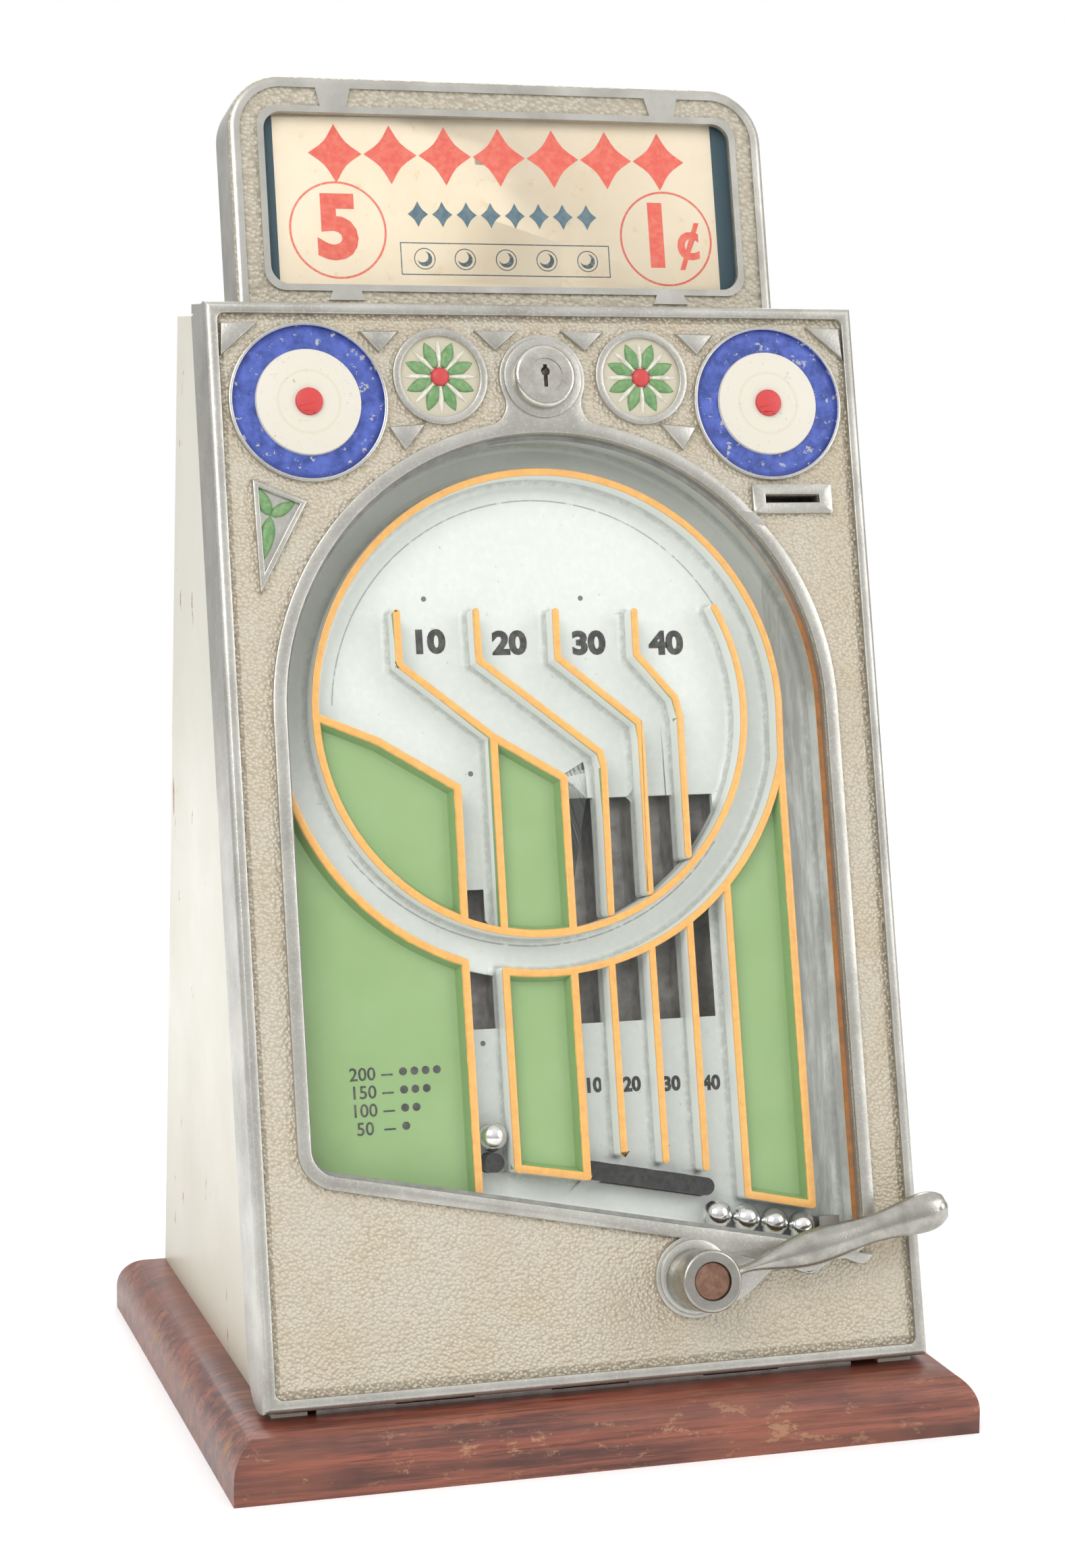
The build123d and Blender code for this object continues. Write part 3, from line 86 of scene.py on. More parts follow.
# ================================================================ shader maths
class Value:
    """A number on a surface: wraps a socket so that sums on it add their own nodes."""

    def __init__(self, finish, socket):
        self.finish = finish
        self.socket = socket

    def maths(self, operation, *others, clamp=False):
        """This value and the others put through a math node."""
        settings = {"operation": operation, "use_clamp": clamp}
        made = self.finish.node("ShaderNodeMath", settings, [self, *others])
        return Value(self.finish, made.outputs[0])

    def __add__(self, other):
        return self.maths("ADD", other)

    __radd__ = __add__

    def __sub__(self, other):
        return self.maths("SUBTRACT", other)

    def __rsub__(self, other):
        return (self * -1.0) + other

    def __mul__(self, other):
        return self.maths("MULTIPLY", other)

    __rmul__ = __mul__

    def __truediv__(self, other):
        return self.maths("DIVIDE", other)

    def __pow__(self, other):
        return self.maths("POWER", other)

    def __abs__(self):
        return self.maths("ABSOLUTE")

    def above(self, level, soft=0.0):
        """1 above the level, 0 below it, easing over a width of soft."""
        if soft == 0.0:
            return self.maths("GREATER_THAN", level)
        return ((self - (level - soft / 2)) / soft).maths("ADD", 0.0, clamp=True)

    def below(self, level, soft=0.0):
        """1 below the level, 0 above it."""
        return 1.0 - self.above(level, soft)

    def between(self, low, high, soft=0.0):
        """1 from the low level to the high one, 0 outside."""
        return self.above(low, soft) * self.below(high, soft)

    def most(self, other):
        """The larger of two values."""
        return self.maths("MAXIMUM", other)

    def least(self, other):
        """The smaller of two values."""
        return self.maths("MINIMUM", other)


class Finish:
    """One material: its nodes are added by expressions, then given to the surface's sockets."""

    def __init__(self, name, **constants):
        self.material = bpy.data.materials.new(name)
        self.material.use_nodes = True
        self.tree = self.material.node_tree
        self.shader = self.tree.nodes["Principled BSDF"]
        for socket, value in constants.items():
            self.shader.inputs[socket.replace("_", " ")].default_value = value
        self.place = self.node("ShaderNodeTexCoord").outputs["Object"]
        split = self.node("ShaderNodeSeparateXYZ", {}, [self.place])
        self.x, self.y, self.z = [Value(self, out) * (1 / MM) for out in split.outputs]

    def node(self, kind, settings=None, values=()):
        """Adds a node, sets it, then fills its sockets in order or by name."""
        made = self.tree.nodes.new(kind)
        for key, value in (settings or {}).items():
            setattr(made, key, value)
        pairs = values.items() if isinstance(values, dict) else enumerate(values)
        for key, value in pairs:
            if value is None:
                continue
            if isinstance(value, Value):
                value = value.socket
            if isinstance(value, bpy.types.NodeSocket):
                self.tree.links.new(value, made.inputs[key])
            else:
                made.inputs[key].default_value = value
        return made

    def face_places(self):
        """x, v and n of the point being shaded, in millimetres."""
        v = (self.y - FACE_Y) * sin(LEAN) + (self.z - FACE_Z) * cos(LEAN)
        n = (self.z - FACE_Z) * sin(LEAN) - (self.y - FACE_Y) * cos(LEAN)
        return self.x, v, n

    def noise(self, size, detail=2.0, rough=0.5, stretch=(1, 1, 1)):
        """Cloudy noise about 0.5, with features of this many millimetres."""
        mapped = self.node("ShaderNodeMapping", {}, {"Vector": self.place, "Scale": stretch})
        made = self.node("ShaderNodeTexNoise", {}, {
            "Vector": mapped.outputs[0], "Scale": 1 / (size * MM), "Detail": detail, "Roughness": rough,
        })
        return Value(self, made.outputs["Fac"])

    def cells(self, size):
        """Distance to the middle of the nearest cell, for cells of this many millimetres."""
        made = self.node("ShaderNodeTexVoronoi", {}, {"Vector": self.place, "Scale": 1 / (size * MM)})
        return Value(self, made.outputs["Distance"])

    def mix(self, factor, first, second):
        """Colour that goes from the first to the second with the factor."""
        made = self.node("ShaderNodeMix", {"data_type": "RGBA"}, {0: factor})
        for index, colour in ((6, first), (7, second)):
            if isinstance(colour, bpy.types.NodeSocket):
                self.tree.links.new(colour, made.inputs[index])
            else:
                made.inputs[index].default_value = (*colour, 1)
        return made.outputs[2]

    def colour(self, colour):
        """Gives the surface a base colour, plain or mixed."""
        if isinstance(colour, tuple):
            self.shader.inputs["Base Color"].default_value = (*colour, 1)
        else:
            self.tree.links.new(colour, self.shader.inputs["Base Color"])
        return self

    def vary(self, socket, value):
        """Lets a value drive one of the surface's sockets."""
        self.tree.links.new(value.socket, self.shader.inputs[socket])
        return self

    def bump(self, height, depth):
        """Bump of a height from 0 to 1, this many millimetres deep."""
        made = self.node("ShaderNodeBump", {}, {
            "Height": height, "Distance": depth * MM, "Strength": 1.0,
        })
        self.tree.links.new(made.outputs[0], self.shader.inputs["Normal"])
        return self


def disc(x, v, centre):
    """Distance of the shaded point from a centre on the face."""
    return ((x - centre[0]) ** 2.0 + (v - centre[1]) ** 2.0) ** 0.5


# ================================================================ finishes
METAL = (0.56, 0.552, 0.507)
METAL_DARK = (0.331, 0.32, 0.286)
PANEL_BEIGE = (0.558, 0.499, 0.395)
# painted shade of the casting's stipple
PANEL_STIPPLE_SHADE = (0.429, 0.372, 0.276)
PANEL_TAN = (0.44, 0.363, 0.25)
BLUE = (0.023, 0.047, 0.216)
BLUE_WORN = (0.07, 0.11, 0.42)
CREAM = (0.602, 0.57, 0.488)
RED = (0.515, 0.043, 0.043)
LEAF_GREEN = (0.095, 0.234, 0.083)
ORANGE = (0.688, 0.336, 0.08)
POCKET_GREEN = (0.231, 0.365, 0.143)
POCKET_PALE = (0.28, 0.416, 0.186)
# painted shade for the pockets' sloping walls
POCKET_WALL_SHADE = (0.147, 0.277, 0.087)


def casting_finish():
    """Rubbed aluminium rims, a beige stippled panel and painted ornaments."""
    finish = Finish("cast_front", Metallic=0.6, Roughness=0.4)
    x, v, n = finish.face_places()
    grain = finish.cells(1.25)
    clouds = finish.noise(26, 4.0, 0.6)
    fine = finish.noise(1.1, 3.0, 0.6)
    front = n.between(-0.35, 0.42)
    inside = abs(x).below(124.0) * v.between(1.0, 394.0)
    panel = front * inside
    metal = finish.mix(clouds.above(0.5, 0.5), METAL, METAL_DARK)
    metal = finish.mix(fine.above(0.62, 0.2) * 0.35, metal, (0.72, 0.71, 0.67))
    # painted shade: the stipple's cells darken towards their edges, standing in for the shade between
    # its pebbles
    beige = finish.mix(grain.above(0.45, 0.5), PANEL_BEIGE, PANEL_STIPPLE_SHADE)
    beige = finish.mix(clouds.above(0.55, 0.4) * 0.4, beige, METAL)
    beige = finish.mix(finish.noise(34, 4.0, 0.65).above(0.56, 0.2) * 0.35, beige, PANEL_TAN)
    edging = abs(x).between(118.4, 120.6).most(v.below(7.6)).most(v.above(388.4))
    beige = finish.mix(edging * grain.above(0.35, 0.3) * 0.55, beige, (0.20, 0.17, 0.12))
    colour = finish.mix(panel, metal, beige)
    paint = None
    for centre in TARGETS:
        radius = disc(x, v, centre)
        chips = finish.noise(3.2, 4.0, 0.7).above(0.63, 0.04)
        blue = finish.mix(finish.noise(5, 3.0, 0.6).above(0.5, 0.3), BLUE, BLUE_WORN)
        blue = finish.mix(abs(radius - 27.4).below(0.9, 0.8) * 0.5, blue, (0.015, 0.03, 0.20))
        ring = radius.between(19.6, 28.2) * n.above(-1.0)
        cream = radius.below(19.6) * n.above(-1.0)
        red = radius.below(5.1) * n.above(-1.0)
        colour = finish.mix(ring * (1.0 - chips * 0.75), colour, blue)
        aged = finish.mix(abs(radius - 11.5).below(0.5, 0.6) * 0.3, CREAM, (0.52, 0.44, 0.28))
        aged = finish.mix(finish.noise(1.6, 2.0, 0.6).above(0.72, 0.03) * 0.6, aged, (0.30, 0.20, 0.10))
        colour = finish.mix(cream * (1.0 - chips * 0.35), colour, aged)
        colour = finish.mix(red, colour, RED)
        painted = (ring + cream).least(1.0)
        paint = painted if paint is None else paint + painted
    for centre in ROSETTES:
        ground = disc(x, v, centre).below(15.0) * n.between(-1.0, 1.2)
        colour = finish.mix(ground * 0.9, colour, (0.50, 0.46, 0.35))
        paint = paint + ground * 0.8
    finish.colour(colour)
    finish.vary("Metallic", (1.0 - paint.least(1.0)) * (0.85 - panel * 0.5))
    finish.vary("Roughness", 0.34 + panel * 0.18 + paint.least(1.0) * 0.1 + (clouds - 0.5) * 0.2)
    stipple = panel * (1.0 - paint.least(1.0)) * grain
    finish.bump(stipple * 0.9 + fine * 0.1, 0.8)
    return finish.material


def sign_finish():
    """Aluminium with a stippled band round the sign's window."""
    finish = Finish("cast_sign", Metallic=0.7, Roughness=0.4)
    x, v, n = finish.face_places()
    grain = finish.cells(1.6)
    clouds = finish.noise(22, 4.0, 0.6)
    fine = finish.noise(1.1, 3.0, 0.6)
    band = n.between(-31.5, -30.6)
    metal = finish.mix(clouds.above(0.5, 0.5), METAL, METAL_DARK)
    # painted shade: the band's stipple cells darken towards their edges, standing in for the shade
    # between its pebbles
    beige = finish.mix(grain.above(0.45, 0.5), (0.50, 0.46, 0.37), (0.37, 0.33, 0.26))
    finish.colour(finish.mix(band, metal, beige))
    finish.vary("Metallic", 0.85 - band * 0.4)
    finish.vary("Roughness", 0.34 + band * 0.16 + (clouds - 0.5) * 0.2)
    finish.bump(band * grain * 0.9 + fine * 0.12, 0.55)
    return finish.material


def case_finish():
    """Cream enamel, chipped to rust-brown metal, most of it along the edges."""
    finish = Finish("cream_enamel", Roughness=0.38)
    drift = finish.noise(60, 4.0, 0.6)
    streak = finish.noise(9, 5.0, 0.7, (1, 1, 0.22))
    speck = finish.noise(2.6, 5.0, 0.75)
    front_edge = finish.face_places()[2].above(-9.5, 3.0)
    chip = (streak + front_edge * 0.05).above(0.665, 0.015).most(speck.above(0.735, 0.02))
    enamel = finish.mix(drift.above(0.5, 0.5), (0.68, 0.66, 0.59), (0.60, 0.57, 0.48))
    # painted shade: the sides darken towards their bottom edge, where the base shades them
    low = finish.z.below(90.0, 90.0)
    enamel = finish.mix(low * 0.7, enamel, (0.44, 0.40, 0.31))
    rust = finish.mix(speck.above(0.5, 0.3), (0.24, 0.10, 0.05), (0.40, 0.24, 0.14))
    finish.colour(finish.mix(chip, enamel, rust))
    finish.vary("Roughness", 0.36 + chip * 0.4 + (drift - 0.5) * 0.2)
    finish.bump((1.0 - chip) + speck * 0.1, 0.12)
    return finish.material


def wood_finish():
    """Red-brown stained wood: grain along the width, worn pale on the edges."""
    finish = Finish("stained_wood", Roughness=0.45, Coat_Weight=0.25, Coat_Roughness=0.3)
    grain = finish.noise(5, 6.0, 0.65, (0.06, 1.0, 1.0))
    fibre = finish.noise(1.4, 4.0, 0.7, (0.035, 1.0, 1.0))
    clouds = finish.noise(45, 3.0, 0.6)
    wear = finish.noise(9, 5.0, 0.8, (0.5, 1.0, 1.0))
    base = finish.mix(grain.above(0.5, 0.2), (0.075, 0.021, 0.015), (0.24, 0.070, 0.042))
    base = finish.mix(fibre.above(0.54, 0.10) * 0.7, base, (0.045, 0.014, 0.010))
    base = finish.mix(clouds.above(0.55, 0.3) * 0.4, base, (0.30, 0.095, 0.050))
    edge = finish.z.between(3.0, 17.5, 9.0)
    scuff = wear.above(0.60, 0.06) * (0.25 + edge * 0.75)
    finish.colour(finish.mix(scuff * 0.6, base, (0.40, 0.23, 0.12)))
    finish.vary("Roughness", 0.40 + scuff * 0.3 + (clouds - 0.5) * 0.2)
    finish.bump(grain * 0.5 + fibre * 0.5, 0.25)
    return finish.material


def playfield_finish():
    """Grey-white channels, orange ridge tops and light green pockets."""
    finish = Finish("playfield_enamel", Roughness=0.3, Coat_Weight=0.25, Coat_Roughness=0.2)
    x, v, n = finish.face_places()
    tilt = finish.node("ShaderNodeVectorMath", {"operation": "DOT_PRODUCT"}, {
        0: finish.node("ShaderNodeTexCoord").outputs["Normal"], 1: tuple(OUT_OF_FACE),
    })
    facing = Value(finish, tilt.outputs["Value"])
    wobble = (finish.noise(3, 3.0, 0.6) - 0.5) * 0.9
    ridge = (n + wobble).above(LAND_TOP - 0.75)
    lower_columns = x.between(3.6, 62.5) * v.below(200.0)
    pocket = n.between(POCKET_FLOOR - 0.3, LAND_TOP - 0.1) * facing.above(0.2) * (1.0 - lower_columns)
    clouds = finish.noise(30, 4.0, 0.6)
    # noise for dirt on the channels and ridges, and for breaking up the painted shade at the foot of the
    # walls
    dirt_and_shade = finish.noise(3.0, 5.0, 0.75)
    specks = finish.noise(1.5, 2.0, 0.6)
    # painted shade: the channels a touch darker the deeper they go
    depth_shade = n.below(CHANNEL_FLOOR + 7.0, 9.0)
    white = finish.mix(depth_shade, (0.74, 0.77, 0.73), (0.73, 0.76, 0.72))
    # painted shade in the crease along the foot of the walls, broken into patches by the noise
    foot = n.between(CHANNEL_FLOOR + 0.25, CHANNEL_FLOOR + 3.4, 1.0)
    white = finish.mix(foot * dirt_and_shade.above(0.40, 0.3) * 0.6, white, (0.30, 0.31, 0.28))
    white = finish.mix(clouds.above(0.5, 0.5) * 0.25, white, (0.52, 0.56, 0.53))
    white = finish.mix(specks.above(0.76, 0.02) * 0.7, white, (0.12, 0.11, 0.09))
    # olive-grey metal beyond the ring at the top, darkened with painted shade in the recess under the
    # window's rim
    beyond = disc(x, v, SCRIBED_CENTRE).above(91.0, 6.0) * v.above(240.0, 60.0)
    white = finish.mix(beyond * (0.3 + clouds * 0.3), white, (0.34, 0.35, 0.29))
    lane = x.above(88.9) * v.below(300.0)
    streak = finish.noise(3.5, 4.0, 0.7, (1.0, 0.12, 0.12))
    white = finish.mix(lane * streak.above(0.48, 0.2) * 0.5, white, (0.22, 0.22, 0.20))
    upper_arc = abs(disc(x, v, SCRIBED_CENTRE) - 80.6).below(0.28) * v.above(250.0)
    lower_arc = abs(disc(x, v, TRACK_CENTRE) - 87.5).below(0.3) * v.below(195.0)
    arc = upper_arc.most(lower_arc)
    white = finish.mix(arc * dirt_and_shade.above(0.42, 0.1) * 0.6, white, (0.16, 0.17, 0.16))
    for spot in PIN_MARKS:
        dot = disc(x, v, spot).below(1.0)
        white = finish.mix(dot * 0.85, white, (0.05, 0.05, 0.05))
    green = finish.mix(clouds.above(0.5, 0.6), POCKET_GREEN, POCKET_PALE)
    # painted shade: the pockets' sloping walls darker than their floors
    wall = n.above(POCKET_FLOOR + 0.25)
    green = finish.mix(wall * 0.5, green, POCKET_WALL_SHADE)
    green = finish.mix(dirt_and_shade.above(0.68, 0.05) * 0.25, green, (0.20, 0.30, 0.10))
    orange = finish.mix(dirt_and_shade.above(0.5, 0.4), ORANGE, (0.80, 0.45, 0.12))
    colour = finish.mix(pocket, white, green)
    colour = finish.mix(ridge, colour, orange)
    finish.colour(colour)
    finish.vary("Roughness", 0.28 + clouds * 0.12)
    finish.bump(clouds * 0.3 + dirt_and_shade * 0.15, 0.15)
    return finish.material


def card_finish():
    """Aged cream card: dark side strips, two red rings and a thin ruled box with five balls."""
    finish = Finish("printed_card", Roughness=0.8)
    x, v, _ = finish.face_places()
    clouds = finish.noise(30, 5.0, 0.65)
    fibre = finish.noise(0.9, 3.0, 0.7)
    stain = finish.noise(5, 5.0, 0.75)
    colour = finish.mix(clouds.above(0.5, 0.5), (0.71, 0.60, 0.43), (0.77, 0.68, 0.53))
    colour = finish.mix(stain.above(0.64, 0.08) * 0.35, colour, (0.62, 0.40, 0.16))
    worn = 1.0 - fibre.above(0.60, 0.1) * 0.35
    coral = finish.mix(clouds.above(0.5, 0.5), (0.66, 0.12, 0.09), (0.70, 0.18, 0.13))
    for centre in CARD_RINGS:
        ring = abs(disc(x, v, centre) - 18.4).below(0.42)
        colour = finish.mix(ring * worn, colour, coral)
    ink = finish.mix(clouds.above(0.5, 0.5), (0.06, 0.09, 0.10), (0.10, 0.15, 0.17))
    wide = abs(x - 0.4)
    tall = abs(v - 421.7)
    box_ends = abs(wide - 41.4).below(0.22) * tall.below(6.2)
    box_sides = abs(tall - 6.1).below(0.22) * wide.below(41.5)
    colour = finish.mix(box_ends.most(box_sides) * worn, colour, ink)
    for place in CARD_BALLS:
        away = disc(x, v, (place, 421.7))
        shade = disc(x, v, (place - 0.9, 422.6))
        ball = (away.below(2.9) * shade.above(2.3)).most(abs(away - 4.0).below(0.2))
        colour = finish.mix(ball * worn, colour, ink)
    strip = x.below(-88.2).most(x.above(86.6))
    colour = finish.mix(strip, colour, (0.045, 0.085, 0.105))
    finish.colour(colour)
    finish.bump(fibre, 0.05)
    return finish.material


def plain_metal(name, colour, second, rough, metallic=1.0, size=6.0):
    """Metal with cloudy tarnish and fine pitting."""
    finish = Finish(name, Metallic=metallic, Roughness=rough)
    clouds = finish.noise(size, 4.0, 0.65)
    fine = finish.noise(0.8, 3.0, 0.6)
    finish.colour(finish.mix(clouds.above(0.52, 0.3), colour, second))
    finish.vary("Roughness", (clouds - 0.5) * 0.3 + rough)
    finish.bump(fine, 0.05)
    return finish.material


def glass_finish(name, tint):
    """Clear pane: passes light straight through with a faint sheen."""
    finish = Finish(name, Roughness=0.03, Metallic=0.0)
    finish.colour(tint)
    smear = finish.noise(40, 3.0, 0.6)
    clear = finish.node("ShaderNodeBsdfTransparent")
    weight = finish.node("ShaderNodeLayerWeight", {}, {"Blend": 0.12})
    amount = Value(finish, weight.outputs["Fresnel"]) * 0.4 + smear * 0.015
    both = finish.node("ShaderNodeMixShader", {}, [amount, clear.outputs[0], finish.shader.outputs[0]])
    out = finish.tree.nodes["Material Output"]
    finish.tree.links.new(both.outputs[0], out.inputs["Surface"])
    return finish.material


def paper_finish(name, colour, second, rough=0.8):
    """Matt board or paper with darker fibres."""
    finish = Finish(name, Roughness=rough)
    clouds = finish.noise(25, 5.0, 0.65)
    fibre = finish.noise(0.9, 3.0, 0.7)
    tone = finish.mix(clouds.above(0.5, 0.5), colour, second)
    finish.colour(finish.mix(fibre.above(0.66, 0.1) * 0.3, tone, (0.45, 0.36, 0.22)))
    finish.bump(fibre, 0.05)
    return finish.material


def paint_finish(name, colour, second, rough=0.45):
    """Paint or ink that is a little uneven."""
    finish = Finish(name, Roughness=rough)
    clouds = finish.noise(2.5, 4.0, 0.65)
    finish.colour(finish.mix(clouds.above(0.52, 0.25), colour, second))
    finish.bump(clouds, 0.08)
    return finish.material


def gasket_finish():
    """Grey rubber that has gone rust-brown down the right side."""
    finish = Finish("aged_rubber", Roughness=0.7)
    x, v, _ = finish.face_places()
    clouds = finish.noise(6, 4.0, 0.65)
    brown = x.above(92.0, 12.0) * v.below(300.0, 30.0)
    grey = finish.mix(clouds.above(0.5, 0.3), (0.20, 0.20, 0.19), (0.30, 0.30, 0.28))
    rust = finish.mix(clouds.above(0.5, 0.3), (0.42, 0.17, 0.05), (0.26, 0.12, 0.05))
    finish.colour(finish.mix(brown, grey, rust))
    finish.bump(clouds, 0.08)
    return finish.material


finishes = {
    "cast_front": casting_finish(),
    "cast_sign": sign_finish(),
    "cream_enamel": case_finish(),
    "stained_wood": wood_finish(),
    "playfield": playfield_finish(),
    "polished": plain_metal("worn_aluminium", (0.42, 0.41, 0.37), (0.30, 0.29, 0.26), 0.27),
    "steel": plain_metal("dull_steel", (0.50, 0.49, 0.47), (0.34, 0.32, 0.30), 0.38),
    "rusty": plain_metal("rusty_steel", (0.14, 0.070, 0.045), (0.23, 0.13, 0.085), 0.55, 0.5, 3.0),
    "nickel": plain_metal("nickel_plate", (0.62, 0.60, 0.55), (0.42, 0.40, 0.36), 0.2),
    "brass": plain_metal("dull_brass", (0.52, 0.38, 0.16), (0.36, 0.25, 0.11), 0.35),
    "balls": plain_metal("ball_steel", (0.78, 0.78, 0.78), (0.62, 0.62, 0.62), 0.1),
    "black": paint_finish("black_enamel", (0.012, 0.012, 0.012), (0.035, 0.034, 0.032), 0.35),
    "gasket": gasket_finish(),
    "glass": glass_finish("clear_glass", (0.95, 0.98, 0.97)),
    "card": card_finish(),
    "board": paper_finish("brown_board", (0.36, 0.28, 0.18), (0.28, 0.21, 0.13)),
    "leaf": paint_finish("leaf_green", LEAF_GREEN, (0.20, 0.31, 0.14)),
    "red": paint_finish("signal_red", RED, (0.48, 0.05, 0.05)),
    "worn_cream": paint_finish("worn_cream", (0.70, 0.67, 0.58), (0.50, 0.47, 0.40), 0.5),
    "print_red": paint_finish("print_red", (0.64, 0.11, 0.08), (0.68, 0.17, 0.12), 0.8),
    "print_blue": paint_finish("print_blue", (0.08, 0.14, 0.17), (0.14, 0.20, 0.23), 0.8),
    "print_black": paint_finish("print_black", (0.03, 0.03, 0.03), (0.09, 0.09, 0.08), 0.7),
}
slot_finish = {
    "stained_wood": "stained_wood", "cream_paint": "cream_enamel", "cast_aluminium": "cast_front",
    "playfield_paint": "playfield", "clear_glass": "glass", "steel": "steel", "spring_steel": "steel",
    "rusty_steel": "rusty", "nickel": "nickel", "brass_plain": "brass", "gasket_rubber": "gasket",
    "card": "card", "board": "board", "black_paint": "black", "ball_steel": "balls",
}
node_finish = {"sign_frame": "cast_sign", "lever_handle": "polished"}


# ================================================================ making
def deselect():
    """Back to object mode with nothing selected."""
    if bpy.context.object and bpy.context.object.mode != "OBJECT":
        bpy.ops.object.mode_set(mode="OBJECT")
    bpy.ops.object.select_all(action="DESELECT")


def activate(piece):
    """Selects one piece alone."""
    deselect()
    piece.select_set(True)
    bpy.context.view_layer.objects.active = piece


def give(piece, finish):
    """Gives a piece one finish in place of what it had."""
    piece.data.materials.clear()
    piece.data.materials.append(finishes[finish])


def settle(piece, name, body, finish, smooth=30):
    """Names a piece that is in place and gives it its finish, its body and smooth sides."""
    piece.name = name
    piece.data.name = name
    activate(piece)
    bpy.ops.object.shade_smooth_by_angle(angle=radians(smooth))
    give(piece, finish)
    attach(piece, body)
    return piece


def onto_face(piece):
    """Moves a piece made in x, v, n millimetres onto the leaning face."""
    piece.data.transform(piece.matrix_world)
    piece.matrix_world = Matrix.Identity(4)
    piece.data.transform(FACE)
    piece.data.update()
    return piece


def joined(pieces):
    """The pieces as one mesh."""
    deselect()
    for piece in pieces:
        piece.select_set(True)
    bpy.context.view_layer.objects.active = pieces[0]
    bpy.ops.object.join()
    return bpy.context.object


slots_of = {item["node"]: item["material_slot"] for item in frame["record"]["subparts"]}


def finish_of(node):
    """A node's own finish, or else the one of its material slot."""
    return node_finish.get(node, slot_finish[slots_of[node]])


def foot_of_wall(edge):
    """Whether an edge is the foot of a wall that stands on the channels' floor."""
    heights = [(OFF_FACE @ corner.co).z for corner in edge.verts]
    if max(abs(height - CHANNEL_FLOOR) for height in heights) > 0.02 or len(edge.link_faces) != 2:
        return False
    flat, wall = sorted(edge.link_faces, key=lambda face: -face.normal.dot(OUT_OF_FACE))
    rises = max((OFF_FACE @ corner.co).z for corner in wall.verts) > CHANNEL_FLOOR + 1
    return flat.normal.dot(OUT_OF_FACE) > 0.99 and abs(wall.normal.dot(OUT_OF_FACE)) < 0.1 and rises


def top_of_wall(edge):
    """Whether an edge runs along the top of one of the playfield's ridges."""
    heights = [(OFF_FACE @ corner.co).z for corner in edge.verts]
    if max(abs(height - LAND_TOP) for height in heights) > 0.02 or len(edge.link_faces) != 2:
        return False
    flat, wall = sorted(edge.link_faces, key=lambda face: -face.normal.dot(OUT_OF_FACE))
    return flat.normal.dot(OUT_OF_FACE) > 0.99 and wall.normal.dot(OUT_OF_FACE) < 0.95


def raised_edge(edge):
    """Whether an edge is a corner that stands above the casting's recessed panel."""
    middle = OFF_FACE @ ((edge.verts[0].co + edge.verts[1].co) / 2)
    if (middle.xy - Vector(RIM_MEETS_PLATE)).length < 3.0:
        return False
    if len(edge.link_faces) != 2 or edge.calc_face_angle(0) < radians(40):
        return False
    return min((OFF_FACE @ corner.co).z for corner in edge.verts) > 0.55 and edge.is_convex


def round_edges(piece, chosen, width, segments):
    """Rounds the edges of a piece that a test picks out."""
    activate(piece)
    bpy.ops.object.mode_set(mode="EDIT")
    bpy.ops.mesh.select_mode(type="EDGE")
    bpy.ops.mesh.select_all(action="DESELECT")
    mesh = bmesh.from_edit_mesh(piece.data)
    for edge in mesh.edges:
        edge.select_set(chosen(edge))
    bmesh.update_edit_mesh(piece.data)
    bpy.ops.mesh.bevel(offset=width * MM, segments=segments, affect="EDGES", clamp_overlap=False)
    bpy.ops.object.mode_set(mode="OBJECT")


def on_channel_floor(face):
    """Whether a face is part of the flat floor of the channels."""
    level = all(abs((OFF_FACE @ corner.co).z - CHANNEL_FLOOR) < 0.01 for corner in face.verts)
    return level and face.normal.dot(OUT_OF_FACE) > 0.99


def pick_floor(piece):
    """Goes into edit mode on a piece with only its channel floor selected."""
    activate(piece)
    bpy.ops.object.mode_set(mode="EDIT")
    bpy.ops.mesh.select_mode(type="FACE")
    bpy.ops.mesh.select_all(action="DESELECT")
    mesh = bmesh.from_edit_mesh(piece.data)
    for face in mesh.faces:
        face.select_set(on_channel_floor(face))
    bmesh.update_edit_mesh(piece.data)


def floor_of(piece):
    """Copy of a piece's channel floor as a piece of its own."""
    pick_floor(piece)
    bpy.ops.mesh.duplicate()
    bpy.ops.mesh.separate(type="SELECTED")
    bpy.ops.object.mode_set(mode="OBJECT")
    return next(made for made in bpy.context.selected_objects if made != piece)


def refine(node, rounding=(), smooth=32):
    """Merged copy of a CAD node with smooth curved sides and, where asked, rounded edges."""
    copy = nodes[node].copy()
    copy.data = nodes[node].data.copy()
    copy.parent = None
    for key in list(copy.keys()):
        if key.startswith("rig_"):
            del copy[key]
    bpy.context.scene.collection.objects.link(copy)
    activate(copy)
    bpy.ops.mesh.customdata_custom_splitnormals_clear()
    bpy.ops.object.mode_set(mode="EDIT")
    bpy.ops.mesh.select_all(action="SELECT")
    bpy.ops.mesh.remove_doubles(threshold=0.000002)
    bpy.ops.object.mode_set(mode="OBJECT")
    # the floor between rounded feet stays as flat as it was
    level = floor_of(copy) if node == "playfield" else None
    if level or not rounding:
        activate(copy)
        bpy.ops.object.mode_set(mode="EDIT")
        bpy.ops.mesh.select_all(action="SELECT")
        bpy.ops.mesh.dissolve_limited(angle_limit=radians(0.03))
        bpy.ops.object.mode_set(mode="OBJECT")
    for chosen, width, segments in rounding:
        round_edges(copy, chosen, width, segments)
    if level:
        pick_floor(copy)
        bpy.ops.mesh.delete(type="FACE")
        bpy.ops.object.mode_set(mode="OBJECT")
        copy = joined([copy, level])
    settle(copy, node + "_finished", body_of[node], finish_of(node), smooth)
    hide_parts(node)
    return copy


for node, piece in nodes.items():
    give(piece, finish_of(node))

